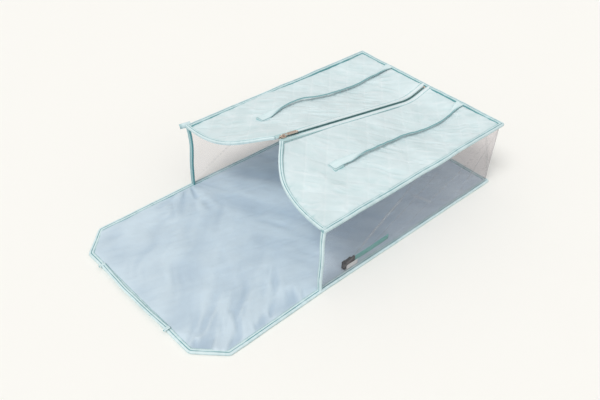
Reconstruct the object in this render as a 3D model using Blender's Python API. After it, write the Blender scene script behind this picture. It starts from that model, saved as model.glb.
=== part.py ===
"""Packing cube with clear sides, a quilted two-piece top joined by a zip, and a front flap.

X runs across the front, +Y from the front to the back, +Z up. The origin is the centre of
the underside. The flap lies open in front of the body, the zip is closed and its pull tab
lies back along it.
"""

import math

import bmesh
import bpy

# ---------------------------------------------------------------- driving dimensions (metres)
WIDTH = 0.400
DEPTH = 0.500
RIM_HEIGHT = 0.150
GAP = 0.0003

BINDING_WIDTH = 0.0060
BINDING_HEIGHT = 0.0050
BINDING_ROUND = 0.0016

FABRIC = 0.0008
WADDING = 0.0020
WINDOW_THICKNESS = 0.0006
WINDOW_CORNER = 0.012

FLAP_LENGTH = 0.2045
TAIL_LENGTH = 0.0460
TAIL_CHAMFER = 0.0480
FOLD_GAP = 0.0006

SCOOP_DEPTH = 0.070
SCOOP_SPREAD = 0.054
SCOOP_POWER = 1.4

ZIP_RISE_AT_CENTRE = 0.0168
ZIP_SLOPE = -0.1662
ZIP_STRAIGHT_END = 0.190

CHAIN_INNER = 0.0008
CHAIN_OUTER = 0.0024
TAPE_INNER = 0.0027
TAPE_OUTER = 0.0082
PANEL_INNER = 0.0085

SLIDER_LENGTH = 0.0130
SLIDER_CENTRE_Y = -0.1695
TAB_LENGTH = 0.0350
TAB_WIDTH = 0.0070
TAB_THICKNESS = 0.0012

HANDLE_WIDTH = 0.018
HANDLE_THICKNESS = 0.0014
HANDLE_FRONT_Y = -0.137
HANDLE_LIFT = 0.0078

BUCKLE_FRONT_Y = -0.183
BUCKLE_LOW_Z = 0.0060
BUCKLE_HEIGHT = 0.0180
BUCKLE_X = 0.18675
SOCKET_HALF = 0.00375
ANCHOR_THICKNESS = 0.0012
STRAP_END_Y = -0.060

# ---------------------------------------------------------------- derived places
HALF_WIDTH = WIDTH / 2
HALF_DEPTH = DEPTH / 2
PANEL_EDGE_X = HALF_WIDTH - BINDING_WIDTH - GAP
PANEL_EDGE_Y = HALF_DEPTH - BINDING_WIDTH - GAP
STACK_TOP = 2 * FABRIC + WADDING + 2 * GAP

HINGE_Y = -HALF_DEPTH - 0.0013
HINGE_Z = BINDING_HEIGHT + GAP
FOLD_Y = HINGE_Y - FLAP_LENGTH

BINDING_TOP_LOW = RIM_HEIGHT - BINDING_HEIGHT
WINDOW_LOW = BINDING_HEIGHT + GAP
WINDOW_HIGH = BINDING_TOP_LOW - GAP
POST_WIDTH = 0.009
POST_DEPTH = 0.0055

# Height of the top midway between the zip and the side seam, above a straight line between
# them, at places along Y: the front arches up and the back sags.
SAG_STATIONS = [
    (-0.250, -0.018),
    (-0.150, -0.007),
    (-0.050, 0.0025),
    (0.035, -0.004),
    (0.125, -0.012),
    (0.190, -0.005),
    (0.250, 0.0),
]


def ease(t):
    """Smooth step from 0 to 1."""
    t = min(max(t, 0.0), 1.0)
    return t * t * (3 - 2 * t)


def sag(y):
    """The stations joined by smooth steps."""
    if y <= SAG_STATIONS[0][0]:
        return SAG_STATIONS[0][1]
    for (y0, s0), (y1, s1) in zip(SAG_STATIONS, SAG_STATIONS[1:]):
        if y <= y1:
            return s0 + (s1 - s0) * ease((y - y0) / (y1 - y0))
    return SAG_STATIONS[-1][1]


def ridge(y):
    """Height of the zip line above the rim: straight, then curving up to the back seam."""
    straight = ZIP_RISE_AT_CENTRE + ZIP_SLOPE * y
    if y <= ZIP_STRAIGHT_END:
        return straight
    t = (y - ZIP_STRAIGHT_END) / (HALF_DEPTH - ZIP_STRAIGHT_END)
    return straight * (1 - t * t * (3 - 2 * t))


def zip_height(y):
    return RIM_HEIGHT + ridge(y)


def top_height(x, y):
    """Outer surface of the top."""
    s = abs(x) / HALF_WIDTH
    return RIM_HEIGHT + ridge(y) * (1 - s) + sag(y) * 4 * s * (1 - s)


def scoop_edge(x):
    """Front edge of the top in plan, cut back towards the zip."""
    return -HALF_DEPTH + SCOOP_DEPTH * math.exp(-((abs(x) / SCOOP_SPREAD) ** SCOOP_POWER))


def scoop_slope(x):
    step = 1e-4
    return (scoop_edge(abs(x) + step) - scoop_edge(abs(x) - step)) / (2 * step)


def scoop_inset(x, distance):
    """The scoop edge moved back by a distance measured square to it."""
    return scoop_edge(x) + distance * math.hypot(1, scoop_slope(x))


# ---------------------------------------------------------------- materials
def make_material(name, colour, roughness, metallic=0.0, alpha=1.0):
    material = bpy.data.materials.new(name)
    material.use_nodes = True
    shader = material.node_tree.nodes["Principled BSDF"]
    shader.inputs["Base Color"].default_value = (*colour, 1.0)
    shader.inputs["Roughness"].default_value = roughness
    shader.inputs["Metallic"].default_value = metallic
    shader.inputs["Alpha"].default_value = alpha
    return material


def quilt_cloth(name):
    return make_material(name, (0.69, 0.79, 0.80), 0.75)


def satin_cloth(name):
    return make_material(name, (0.56, 0.65, 0.74), 0.45)


def wadding(name):
    return make_material(name, (0.90, 0.90, 0.88), 0.95)


def binding_tape(name):
    return make_material(name, (0.55, 0.73, 0.72), 0.65)


def clear_vinyl(name):
    return make_material(name, (0.90, 0.92, 0.93), 0.08, alpha=0.25)


def zip_tape(name):
    return make_material(name, (0.30, 0.50, 0.51), 0.8)


def zip_nylon(name):
    return make_material(name, (0.22, 0.38, 0.39), 0.4)


def plated_metal(name):
    return make_material(name, (0.78, 0.68, 0.60), 0.25, metallic=1.0)


def black_plastic(name):
    return make_material(name, (0.02, 0.02, 0.022), 0.4)


def teal_webbing(name):
    return make_material(name, (0.22, 0.55, 0.52), 0.7)


def white_tape(name):
    return make_material(name, (0.90, 0.90, 0.88), 0.8)


# ---------------------------------------------------------------- mesh helpers
def clear_scene():
    for item in list(bpy.data.objects):
        bpy.data.objects.remove(item, do_unlink=True)


def add_mesh(name, points, faces, make_look, origin=(0.0, 0.0, 0.0)):
    """A named object whose mesh is given in world places, with its origin where asked."""
    local = [tuple(p[k] - origin[k] for k in range(3)) for p in points]
    mesh = bpy.data.meshes.new(name)
    mesh.from_pydata(local, [], faces)
    build = bmesh.new()
    build.from_mesh(mesh)
    bmesh.ops.recalc_face_normals(build, faces=build.faces)
    build.to_mesh(mesh)
    build.free()
    item = bpy.data.objects.new(name, mesh)
    item.location = origin
    bpy.context.scene.collection.objects.link(item)
    mesh.materials.append(make_look(name))
    return item


def soften(item, width, segments=2):
    """Rounded edges, kept as a modifier."""
    bevel = item.modifiers.new("rounded edges", "BEVEL")
    bevel.width = width
    bevel.segments = segments
    bevel.limit_method = "ANGLE"
    item.data.shade_smooth()
    item.data.set_sharp_from_angle(angle=math.radians(40))
    return item


def prism(name, outline, low, high, axis, make_look, origin=(0.0, 0.0, 0.0)):
    """An outline extruded along one axis. The outline's two numbers are the other two axes."""
    others = [k for k in range(3) if k != axis]
    points = []
    for level in (low, high):
        for pair in outline:
            point = [0.0, 0.0, 0.0]
            point[axis] = level
            point[others[0]] = pair[0]
            point[others[1]] = pair[1]
            points.append(tuple(point))
    count = len(outline)
    faces = [tuple(range(count)), tuple(range(count, 2 * count))]
    for i in range(count):
        j = (i + 1) % count
        faces.append((i, j, count + j, count + i))
    return add_mesh(name, points, faces, make_look, origin)


def box(name, low, high, make_look, origin=(0.0, 0.0, 0.0)):
    outline = [(low[0], low[1]), (high[0], low[1]), (high[0], high[1]), (low[0], high[1])]
    return prism(name, outline, low[2], high[2], 2, make_look, origin)


def spaced(low, high, count):
    return [low + (high - low) * k / (count - 1) for k in range(count)]


def curved_sheet(name, xs, rows, front, back, upper, lower, make_look):
    """A closed sheet over a grid in plan, between two height functions."""
    points = []
    for height in (upper, lower):
        for x in xs:
            for k in range(rows):
                y = front(x) + (back(x) - front(x)) * k / (rows - 1)
                points.append((x, y, height(x, y)))
    columns = len(xs)
    shift = columns * rows
    faces = []
    for i in range(columns - 1):
        for k in range(rows - 1):
            a = i * rows + k
            b = a + rows
            for base in (0, shift):
                faces.append((base + a, base + b, base + b + 1))
                faces.append((base + a, base + b + 1, base + a + 1))
    border = [i * rows for i in range(columns)]
    border += [(columns - 1) * rows + k for k in range(1, rows)]
    border += [i * rows + rows - 1 for i in range(columns - 2, -1, -1)]
    border += [k for k in range(rows - 2, 0, -1)]
    for a, b in zip(border, border[1:] + border[:1]):
        faces.append((a, b, b + shift))
        faces.append((a, b + shift, a + shift))
    return add_mesh(name, points, faces, make_look)


def arc(centre, radius, start, end, steps):
    """Points of a round corner, angles in degrees."""
    angles = [math.radians(start + (end - start) * k / steps) for k in range(steps + 1)]
    return [(centre[0] + radius * math.cos(a), centre[1] + radius * math.sin(a)) for a in angles]


SIDES = (("left", -1), ("right", 1))


# ---------------------------------------------------------------- bottom of the body
def stack_levels():
    """(name, low, high, look) of the three layers sewn into the bottom and the flap."""
    first = FABRIC
    second = first + GAP + WADDING
    return [
        ("fabric", 0.0, first, quilt_cloth),
        ("wadding", first + GAP, second, wadding),
        ("lining", second + GAP, second + GAP + FABRIC, satin_cloth),
    ]


def make_bottom():
    front = -HALF_DEPTH - 0.0010
    for layer, low, high, look in stack_levels():
        box(
            "bottom_" + layer,
            (-PANEL_EDGE_X, front, low),
            (PANEL_EDGE_X, PANEL_EDGE_Y, high),
            look,
        )


# ---------------------------------------------------------------- clear sides
def make_window():
    """One clear strip around the left side, the back and the right side."""
    outer_x = HALF_WIDTH - 0.0030
    outer_y = HALF_DEPTH - 0.0030
    front = -HALF_DEPTH + POST_DEPTH + GAP
    radius = WINDOW_CORNER
    inner = radius - WINDOW_THICKNESS
    right = (outer_x - radius, outer_y - radius)
    left = (-right[0], right[1])
    outline = [(outer_x, front)]
    outline += arc(right, radius, 0, 90, 5)
    outline += arc(left, radius, 90, 180, 5)
    outline += [(-outer_x, front), (-outer_x + WINDOW_THICKNESS, front)]
    outline += arc(left, inner, 180, 90, 5)
    outline += arc(right, inner, 90, 0, 5)
    outline += [(outer_x - WINDOW_THICKNESS, front)]
    prism("clear_window", outline, WINDOW_LOW, WINDOW_HIGH, 2, clear_vinyl)


def make_posts():
    """Bindings that finish the front ends of the clear strip."""
    for side, sign in SIDES:
        xs = sorted((sign * (HALF_WIDTH - POST_WIDTH), sign * HALF_WIDTH))
        low = (xs[0], -HALF_DEPTH, WINDOW_LOW)
        high = (xs[1], -HALF_DEPTH + POST_DEPTH, WINDOW_HIGH)
        soften(box("post_binding_" + side, low, high, binding_tape), BINDING_ROUND)


# ---------------------------------------------------------------- seam bindings
def make_ring_bindings(level, low_z):
    """Three bindings round one level: left, right and back."""
    high_z = low_z + BINDING_HEIGHT
    for side, sign in SIDES:
        xs = sorted((sign * (HALF_WIDTH - BINDING_WIDTH), sign * HALF_WIDTH))
        low = (xs[0], -HALF_DEPTH, low_z)
        high = (xs[1], PANEL_EDGE_Y, high_z)
        soften(box("binding_" + level + "_" + side, low, high, binding_tape), BINDING_ROUND)
    low = (-HALF_WIDTH, HALF_DEPTH - BINDING_WIDTH, low_z)
    high = (HALF_WIDTH, HALF_DEPTH, high_z)
    soften(box("binding_" + level + "_back", low, high, binding_tape), BINDING_ROUND)


def make_binding_stub():
    """The loose end of the top left binding, standing out past the front corner."""
    start = (-HALF_WIDTH - GAP, -HALF_DEPTH + 0.010)
    outline = [
        start,
        (start[0] - 0.0040, start[1]),
        (start[0] - 0.0110, -HALF_DEPTH - 0.0100),
        (start[0] - 0.0060, -HALF_DEPTH - 0.0130),
        (start[0] - 0.0010, -HALF_DEPTH),
    ]
    stub = prism(
        "binding_loose_end", outline, BINDING_TOP_LOW, RIM_HEIGHT, 2, binding_tape
    )
    soften(stub, 0.0010)


# ---------------------------------------------------------------- quilted top
def panel_columns(sign):
    near = spaced(PANEL_INNER, 0.060, 6)
    far = spaced(0.060, PANEL_EDGE_X, 8)
    return [sign * x for x in near + far[1:]]


def below(depth):
    """A height function this far under the top's outer surface."""
    return lambda x, y: top_height(x, y) - depth


def make_top_halves():
    levels = [
        ("fabric", 0.0, FABRIC, quilt_cloth),
        ("wadding", FABRIC + GAP, FABRIC + GAP + WADDING, wadding),
        ("lining", STACK_TOP - FABRIC, STACK_TOP, satin_cloth),
    ]
    for side, sign in SIDES:
        for layer, upper, lower, look in levels:
            curved_sheet(
                "top_" + layer + "_" + side,
                panel_columns(sign),
                15,
                lambda x: scoop_inset(x, BINDING_WIDTH + GAP),
                lambda x: PANEL_EDGE_Y,
                below(upper),
                below(lower),
                look,
            )


def make_scoop_bindings():
    for side, sign in SIDES:
        curved_sheet(
            "scoop_binding_" + side,
            panel_columns(sign),
            4,
            scoop_edge,
            lambda x: scoop_inset(x, BINDING_WIDTH),
            below(-0.0006),
            below(STACK_TOP + 0.0004),
            binding_tape,
        )


# ---------------------------------------------------------------- zip
ZIP_FRONT_Y = -HALF_DEPTH + SCOOP_DEPTH + 0.0025
TOP_STOP_LENGTH = 0.0020
BOTTOM_STOP_Y = 0.2360


def zip_strip(name, inner, outer, front, back, upper, lower, look):
    """A strip along the zip line, straight in plan, following its height."""
    rows = 22
    curved_sheet(
        name,
        [inner, outer],
        rows,
        lambda x: front,
        lambda x: back,
        lambda x, y: zip_height(y) + upper,
        lambda x, y: zip_height(y) + lower,
        look,
    )


def make_zip():
    chain_front = ZIP_FRONT_Y + TOP_STOP_LENGTH + GAP
    for side, sign in SIDES:
        zip_strip(
            "zip_tape_" + side,
            sign * TAPE_INNER,
            sign * TAPE_OUTER,
            ZIP_FRONT_Y,
            PANEL_EDGE_Y,
            -0.0014,
            -0.0020,
            zip_tape,
        )
        zip_strip(
            "zip_coil_" + side,
            sign * CHAIN_INNER,
            sign * CHAIN_OUTER,
            chain_front,
            BOTTOM_STOP_Y - GAP,
            -0.0003,
            -0.0030,
            zip_nylon,
        )
        zip_strip(
            "zip_top_stop_" + side,
            sign * CHAIN_INNER,
            sign * CHAIN_OUTER,
            ZIP_FRONT_Y,
            ZIP_FRONT_Y + TOP_STOP_LENGTH,
            -0.0001,
            -0.0032,
            plated_metal,
        )
    zip_strip(
        "zip_bottom_stop",
        -CHAIN_OUTER,
        CHAIN_OUTER,
        BOTTOM_STOP_Y,
        BOTTOM_STOP_Y + 0.0040,
        0.0002,
        -0.0036,
        plated_metal,
    )


def along_zip(forward, up):
    """World Y and Z of a point given along the zip line and square to it, from the slider."""
    angle = math.atan(ZIP_SLOPE)
    y = SLIDER_CENTRE_Y + forward * math.cos(angle) - up * math.sin(angle)
    z = zip_height(SLIDER_CENTRE_Y) + forward * math.sin(angle) + up * math.cos(angle)
    return y, z


def tilt_to_zip(item):
    """Lean a piece, modelled level about the slider's place, to the zip's slope."""
    item.rotation_euler = (math.atan(ZIP_SLOPE), 0.0, 0.0)
    return item


def slider_place():
    return (0.0, SLIDER_CENTRE_Y, zip_height(SLIDER_CENTRE_Y))


def place_at(item, place):
    item.location = place
    return item


def make_slider():
    """Two plates and a thin web between them, with lips that turn in over the tape."""
    wide = 0.0045
    lip = 0.0036
    web = 0.0004
    half = [
        (wide, 0.0014),
        (wide, -0.0010),
        (lip, -0.0010),
        (lip, 0.0002),
        (web, 0.0002),
        (web, -0.0034),
        (lip, -0.0034),
        (lip, -0.0024),
        (wide, -0.0024),
        (wide, -0.0046),
    ]
    outline = half + [(-x, z) for x, z in reversed(half)]
    body = prism("zip_slider", outline, -SLIDER_LENGTH / 2, SLIDER_LENGTH / 2, 1, plated_metal)
    tilt_to_zip(place_at(body, slider_place()))

    foot = 0.0014 + GAP
    arch = [
        (-0.0050, foot),
        (-0.0050, 0.0044),
        (-0.0036, 0.0056),
        (0.0036, 0.0056),
        (0.0050, 0.0044),
        (0.0050, foot),
        (0.0038, foot),
        (0.0038, 0.0044),
        (-0.0038, 0.0044),
        (-0.0038, foot),
    ]
    bail = prism("slider_bail", arch, -0.0008, 0.0008, 0, plated_metal)
    tilt_to_zip(place_at(bail, slider_place()))


TAB_PIVOT_FORWARD = 0.0015
TAB_PIVOT_UP = 0.0030


def tab_pivot():
    y, z = along_zip(TAB_PIVOT_FORWARD, TAB_PIVOT_UP)
    return (0.0, y, z)


def make_pull_tab():
    """A plate with a window at its pivot end, through which the bail passes."""
    half = TAB_WIDTH / 2
    bar = TAB_THICKNESS / 2
    end = TAB_LENGTH - half
    outline = [(-half, -bar), (half, -bar)]
    outline += [(half, end * 0.5)]
    outline += arc((0.0, end), half, 0, 180, 8)
    outline += [(-half, end * 0.5)]
    tab = prism("pull_tab", outline, -bar, bar, 2, plated_metal)
    window = prism(
        "pull_tab_window_cutter",
        [(-0.0023, bar), (0.0023, bar), (0.0023, 0.0085), (-0.0023, 0.0085)],
        -0.003,
        0.003,
        2,
        plated_metal,
    )
    hole = prism(
        "pull_tab_hole_cutter",
        arc((0.0, end), 0.0012, 0, 330, 11),
        -0.003,
        0.003,
        2,
        plated_metal,
    )
    for cutter in (window, hole):
        cutter.hide_render = True
        cutter.display_type = "WIRE"
        tilt_to_zip(place_at(cutter, tab_pivot()))
        cut = tab.modifiers.new("cut", "BOOLEAN")
        cut.operation = "DIFFERENCE"
        cut.solver = "EXACT"
        cut.object = cutter
    tilt_to_zip(place_at(tab, tab_pivot()))


# ---------------------------------------------------------------- carrying handles
PATCH_LENGTH = 0.020
PATCH_THICKNESS = 0.0008
HANDLE_TWIST = math.radians(42)
HANDLE_CLEARANCE = 0.00025

# The line each strap takes over the top: (y, x of its middle).
HANDLE_LINES = {
    "left": [(-0.137, -0.106), (-0.020, -0.112), (0.045, -0.100), (0.130, -0.108), (0.250, -0.108)],
    "right": [(-0.137, 0.0955), (-0.043, 0.106), (0.050, 0.0995), (0.170, 0.105), (0.250, 0.094)],
}
# Where each strap starts to turn on edge behind its sewn front end.
HANDLE_TURN_Y = {"left": -0.120, "right": -0.104}


def handle_middle(side, y):
    stations = HANDLE_LINES[side]
    x = stations[0][1]
    for (y0, x0), (y1, x1) in zip(stations, stations[1:]):
        if y > y0:
            x = x0 + (x1 - x0) * ease((y - y0) / (y1 - y0))
    return x


def handle_tilt(side, y):
    """Twist of the strap: flat where it is sewn down, its right edge up between."""
    turn = ease((y - HANDLE_TURN_Y[side]) / 0.040) * ease((PANEL_EDGE_Y - 0.004 - y) / 0.050)
    return HANDLE_TWIST * turn


def handle_base(side, y):
    """Highest point of the quilt under the strap's width, its sewn end kept straight."""
    middle = handle_middle(side, max(y, HANDLE_FRONT_Y + PATCH_LENGTH))
    ends = (handle_middle(side, y), middle)
    xs = spaced(min(ends) - HANDLE_WIDTH / 2, max(ends) + HANDLE_WIDTH / 2, 9)
    return max(top_height(x, y) for x in xs) + HANDLE_CLEARANCE


def handle_lift(side, y):
    """How far the strap's middle stands off: sewn down at both ends, loose between."""
    start = HANDLE_FRONT_Y + PATCH_LENGTH
    t = (y - start) / (PANEL_EDGE_Y - 0.012 - start)
    slack = HANDLE_LIFT * ease(t * 5) * ease((1 - t) * 5) if 0 < t < 1 else 0.0
    return max(slack, math.sin(handle_tilt(side, y)) * HANDLE_WIDTH / 2)


def handle_under(side, y):
    return handle_base(side, y) + 2 * GAP + PATCH_THICKNESS + handle_lift(side, y)


def handle_strap(side):
    """Rings of four points carried along the strap's line and turned by its twist."""
    points = []
    rows = 44
    for y in spaced(HANDLE_FRONT_Y, PANEL_EDGE_Y, rows):
        tilt = handle_tilt(side, y)
        middle = (handle_middle(side, y), handle_under(side, y))
        for across, up in ((-1, 0), (1, 0), (1, 1), (-1, 1)):
            reach = across * HANDLE_WIDTH / 2
            rise = up * HANDLE_THICKNESS
            x = middle[0] + reach * math.cos(tilt) - rise * math.sin(tilt)
            z = middle[1] + reach * math.sin(tilt) + rise * math.cos(tilt)
            points.append((x, y, z))
    faces = []
    for i in range(rows - 1):
        for j in range(4):
            a = i * 4 + j
            b = i * 4 + (j + 1) % 4
            faces.append((a, a + 4, b + 4))
            faces.append((a, b + 4, b))
    last = (rows - 1) * 4
    faces.append((0, 1, 2))
    faces.append((0, 2, 3))
    faces.append((last, last + 2, last + 1))
    faces.append((last, last + 3, last + 2))
    return points, faces


def make_handles():
    for side, sign in SIDES:
        points, faces = handle_strap(side)
        add_mesh("handle_" + side, points, faces, binding_tape)
        middle = handle_middle(side, HANDLE_FRONT_Y + PATCH_LENGTH / 2)
        curved_sheet(
            "handle_patch_" + side,
            spaced(middle - HANDLE_WIDTH / 2, middle + HANDLE_WIDTH / 2, 4),
            4,
            lambda x: HANDLE_FRONT_Y,
            lambda x: HANDLE_FRONT_Y + PATCH_LENGTH,
            lambda x, y: handle_base(side, y) + GAP + PATCH_THICKNESS,
            lambda x, y: handle_base(side, y) + GAP,
            quilt_cloth,
        )


# ---------------------------------------------------------------- front flap and its tail
def make_flap():
    start = HINGE_Y - GAP
    end = FOLD_Y + FOLD_GAP / 2
    origin = (0.0, HINGE_Y, HINGE_Z)
    for layer, low, high, look in stack_levels():
        box(
            "flap_" + layer,
            (-PANEL_EDGE_X, end, low),
            (PANEL_EDGE_X, start, high),
            look,
            origin,
        )
    for side, sign in SIDES:
        xs = sorted((sign * (HALF_WIDTH - BINDING_WIDTH), sign * HALF_WIDTH))
        strip = box(
            "flap_binding_" + side,
            (xs[0], end, 0.0),
            (xs[1], start, BINDING_HEIGHT),
            binding_tape,
            origin,
        )
        soften(strip, BINDING_ROUND)


def tail_outline(inset):
    """Corners of the tail on its right half, moved in from the outer edge."""
    start = FOLD_Y - FOLD_GAP / 2
    end = start - TAIL_LENGTH
    corner = HALF_WIDTH - TAIL_CHAMFER
    lean = inset * (math.hypot(TAIL_CHAMFER, TAIL_LENGTH) - TAIL_LENGTH) / TAIL_CHAMFER
    wide = HALF_WIDTH - inset * math.hypot(TAIL_CHAMFER, TAIL_LENGTH) / TAIL_LENGTH
    return [(wide, start), (corner - lean, end + inset)]


def make_tail():
    origin = (0.0, FOLD_Y, HINGE_Z)
    inner = tail_outline(BINDING_WIDTH + GAP)
    ring_inner = tail_outline(BINDING_WIDTH)
    outer = tail_outline(0.0)
    sheet = inner + [(-x, y) for x, y in reversed(inner)]
    for layer, low, high, look in stack_levels():
        prism("tail_" + layer, sheet, low, high, 2, look, origin)
    ring = outer + [(-x, y) for x, y in reversed(outer)]
    ring += [(-x, y) for x, y in ring_inner] + list(reversed(ring_inner))
    binding = prism("tail_binding", ring, 0.0, BINDING_HEIGHT, 2, binding_tape, origin)
    soften(binding, 0.0012)


STRAP_LEFT_X = -0.105
STRAP_RIGHT_X = 0.088
PULL_STRAP_WIDTH = 0.009
PULL_STRAP_THICKNESS = 0.0012
PULL_STRAP_BOW = 0.003


def make_pull_strap():
    """A sewn pull along the tail's far edge, with a small folded tab at each end."""
    origin = (0.0, FOLD_Y, HINGE_Z)
    edge = FOLD_Y - FOLD_GAP / 2 - TAIL_LENGTH
    middle = (STRAP_LEFT_X + STRAP_RIGHT_X) / 2
    reach = (STRAP_RIGHT_X - STRAP_LEFT_X) / 2
    low = BINDING_HEIGHT + GAP
    high = low + PULL_STRAP_THICKNESS
    outer = []
    for x in spaced(STRAP_LEFT_X, STRAP_RIGHT_X, 13):
        bow = PULL_STRAP_BOW * (1 - ((x - middle) / reach) ** 2)
        outer.append((x, edge - 0.0010 - bow))
    inner = [(x, y + PULL_STRAP_WIDTH) for x, y in reversed(outer)]
    prism("pull_strap", outer + inner, low, high, 2, binding_tape, origin)
    for side, x, sign in (("left", STRAP_LEFT_X, -1), ("right", STRAP_RIGHT_X, 1)):
        xs = sorted((x + sign * GAP, x + sign * (GAP + 0.005)))
        tab = box(
            "pull_strap_tab_" + side,
            (xs[0], edge - 0.0035, low),
            (xs[1], edge + 0.0085, high + 0.0008),
            binding_tape,
            origin,
        )
        soften(tab, 0.0006)


# ---------------------------------------------------------------- inner hold-down strap
def make_buckle():
    """A side-release buckle on edge by the right wall, its plug facing the back."""
    low_z = BUCKLE_LOW_Z
    high_z = BUCKLE_LOW_Z + BUCKLE_HEIGHT
    mid_z = (low_z + high_z) / 2
    split_y = BUCKLE_FRONT_Y + 0.0220
    pocket = 0.00215
    socket = box(
        "buckle_socket",
        (BUCKLE_X - SOCKET_HALF, BUCKLE_FRONT_Y, low_z),
        (BUCKLE_X + SOCKET_HALF, split_y, high_z),
        black_plastic,
    )
    pocket_cutter = box(
        "buckle_pocket_cutter",
        (BUCKLE_X - pocket, BUCKLE_FRONT_Y + 0.0035, low_z + 0.0018),
        (BUCKLE_X + pocket, split_y + 0.0050, high_z - 0.0018),
        black_plastic,
    )
    side_cutter = box(
        "buckle_side_cutter",
        (BUCKLE_X - 0.0014, BUCKLE_FRONT_Y + 0.0090, low_z - 0.0050),
        (BUCKLE_X + 0.0014, BUCKLE_FRONT_Y + 0.0160, high_z + 0.0050),
        black_plastic,
    )
    for cutter in (pocket_cutter, side_cutter):
        cutter.hide_render = True
        cutter.display_type = "WIRE"
        cut = socket.modifiers.new("cut", "BOOLEAN")
        cut.operation = "DIFFERENCE"
        cut.solver = "EXACT"
        cut.object = cutter

    base_front = split_y + GAP
    base_back = base_front + 0.0080
    tip = BUCKLE_FRONT_Y + 0.0050
    prong = 0.0024
    outer = BUCKLE_HEIGHT / 2 - 0.0024
    upper = [
        (base_back, BUCKLE_HEIGHT / 2),
        (base_front, BUCKLE_HEIGHT / 2),
        (base_front, outer),
        (tip + 0.0060, outer),
        (tip, outer - 0.0012),
        (tip, outer - prong),
        (base_front, outer - prong),
        (base_front, 0.0010),
        (tip + 0.0030, 0.0010),
    ]
    comb = upper + [(y, -z) for y, z in reversed(upper)]
    plug = prism(
        "buckle_plug",
        [(y, mid_z + z) for y, z in comb],
        BUCKLE_X - 0.00175,
        BUCKLE_X + 0.00175,
        0,
        black_plastic,
        (BUCKLE_X, base_front, mid_z),
    )
    soften(plug, 0.0003, 1)

    box(
        "hold_down_strap",
        (BUCKLE_X - 0.0006, base_back + GAP, low_z + 0.0015),
        (BUCKLE_X + 0.0006, STRAP_END_Y, high_z - 0.0015),
        teal_webbing,
        (BUCKLE_X, base_front, mid_z),
    )


def make_anchor_tape():
    """White tape sewn to the bottom seam, standing between the buckle and the window."""
    inner = BUCKLE_X + SOCKET_HALF + GAP
    box(
        "strap_anchor_tape",
        (inner, BUCKLE_FRONT_Y + 0.0060, STACK_TOP + GAP),
        (inner + ANCHOR_THICKNESS, BUCKLE_FRONT_Y + 0.0340, BUCKLE_LOW_Z + 0.0100),
        white_tape,
    )


def main():
    clear_scene()
    make_bottom()
    make_window()
    make_posts()
    make_ring_bindings("bottom", 0.0)
    make_ring_bindings("top", BINDING_TOP_LOW)
    make_binding_stub()
    make_top_halves()
    make_scoop_bindings()
    make_zip()
    make_slider()
    make_pull_tab()
    make_handles()
    make_flap()
    make_tail()
    make_pull_strap()
    make_buckle()
    make_anchor_tape()


main()
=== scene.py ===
"""Looks of the packing cube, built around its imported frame.

X runs across the front, +Y from the front to the back, +Z up, in metres, as in the CAD. The
flap lies open in front of the body and the zip is closed.
"""

import math

import bmesh
import bpy
import numpy as np
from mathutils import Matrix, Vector


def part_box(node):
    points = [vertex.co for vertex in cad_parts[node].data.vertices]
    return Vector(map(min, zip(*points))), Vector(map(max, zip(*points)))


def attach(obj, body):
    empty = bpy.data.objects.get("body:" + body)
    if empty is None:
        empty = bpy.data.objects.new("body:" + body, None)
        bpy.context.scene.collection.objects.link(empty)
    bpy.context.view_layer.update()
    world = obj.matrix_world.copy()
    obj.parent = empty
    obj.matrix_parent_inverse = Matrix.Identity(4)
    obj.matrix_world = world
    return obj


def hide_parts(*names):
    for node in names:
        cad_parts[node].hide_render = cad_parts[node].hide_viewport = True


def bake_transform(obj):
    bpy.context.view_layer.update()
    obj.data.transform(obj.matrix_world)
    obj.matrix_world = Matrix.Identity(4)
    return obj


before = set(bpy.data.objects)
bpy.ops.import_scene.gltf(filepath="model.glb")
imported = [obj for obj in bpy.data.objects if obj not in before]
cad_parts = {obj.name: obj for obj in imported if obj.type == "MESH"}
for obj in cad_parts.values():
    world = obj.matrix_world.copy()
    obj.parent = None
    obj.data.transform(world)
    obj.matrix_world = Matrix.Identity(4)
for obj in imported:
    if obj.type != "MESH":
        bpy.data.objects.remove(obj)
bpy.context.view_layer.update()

# ---------------------------------------------------------------- dimensions (metres)
HALF_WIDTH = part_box("binding_top_back")[1].x
HALF_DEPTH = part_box("binding_top_back")[1].y
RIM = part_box("binding_top_back")[1].z
FOLD_Y = -0.4558
TAIL_END_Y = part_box("tail_binding")[0].y
TAIL_CORNER_X = 0.152
SPLIT_Y = FOLD_Y + 0.026

TAPE_WIDTH = 0.0105
EDGE_OVERHANG = 0.0012
FLOOR_TAPE_Z = 0.0025
LINING_THICKNESS = 0.0005

SCOOP_DEPTH = 0.070
SCOOP_SPREAD = 0.054
SCOOP_POWER = 1.4

ZIP_RISE = 0.0168
ZIP_SLOPE = -0.1662
ZIP_STRAIGHT_END = 0.168
ZIP_FRONT_Y = -HALF_DEPTH + SCOOP_DEPTH + 0.0025

QUILT_STEP = 0.038
HEM_EDGE = 0.0034
HEM_STITCH = 0.0125

SAG_STATIONS = [
    (-0.250, -0.018),
    (-0.150, -0.007),
    (-0.050, 0.0025),
    (0.035, -0.004),
    (0.125, -0.012),
    (0.190, -0.005),
    (0.250, 0.0),
]
SIDES = (("left", -1), ("right", 1))


# ---------------------------------------------------------------- shape of the top
def ease(t):
    """Smooth step from 0 to 1."""
    t = np.clip(t, 0.0, 1.0)
    return t * t * (3 - 2 * t)


def eased_line(stations, y):
    """A smooth line through (place, value) stations."""
    value = np.full(np.shape(y), stations[0][1], float)
    for (y0, s0), (y1, s1) in zip(stations, stations[1:]):
        value = np.where(y > y0, s0 + (s1 - s0) * ease((y - y0) / (y1 - y0)), value)
    return value


def sag(y):
    """Height of the top midway between zip and side seam, above a straight line."""
    return eased_line(SAG_STATIONS, y)


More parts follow.
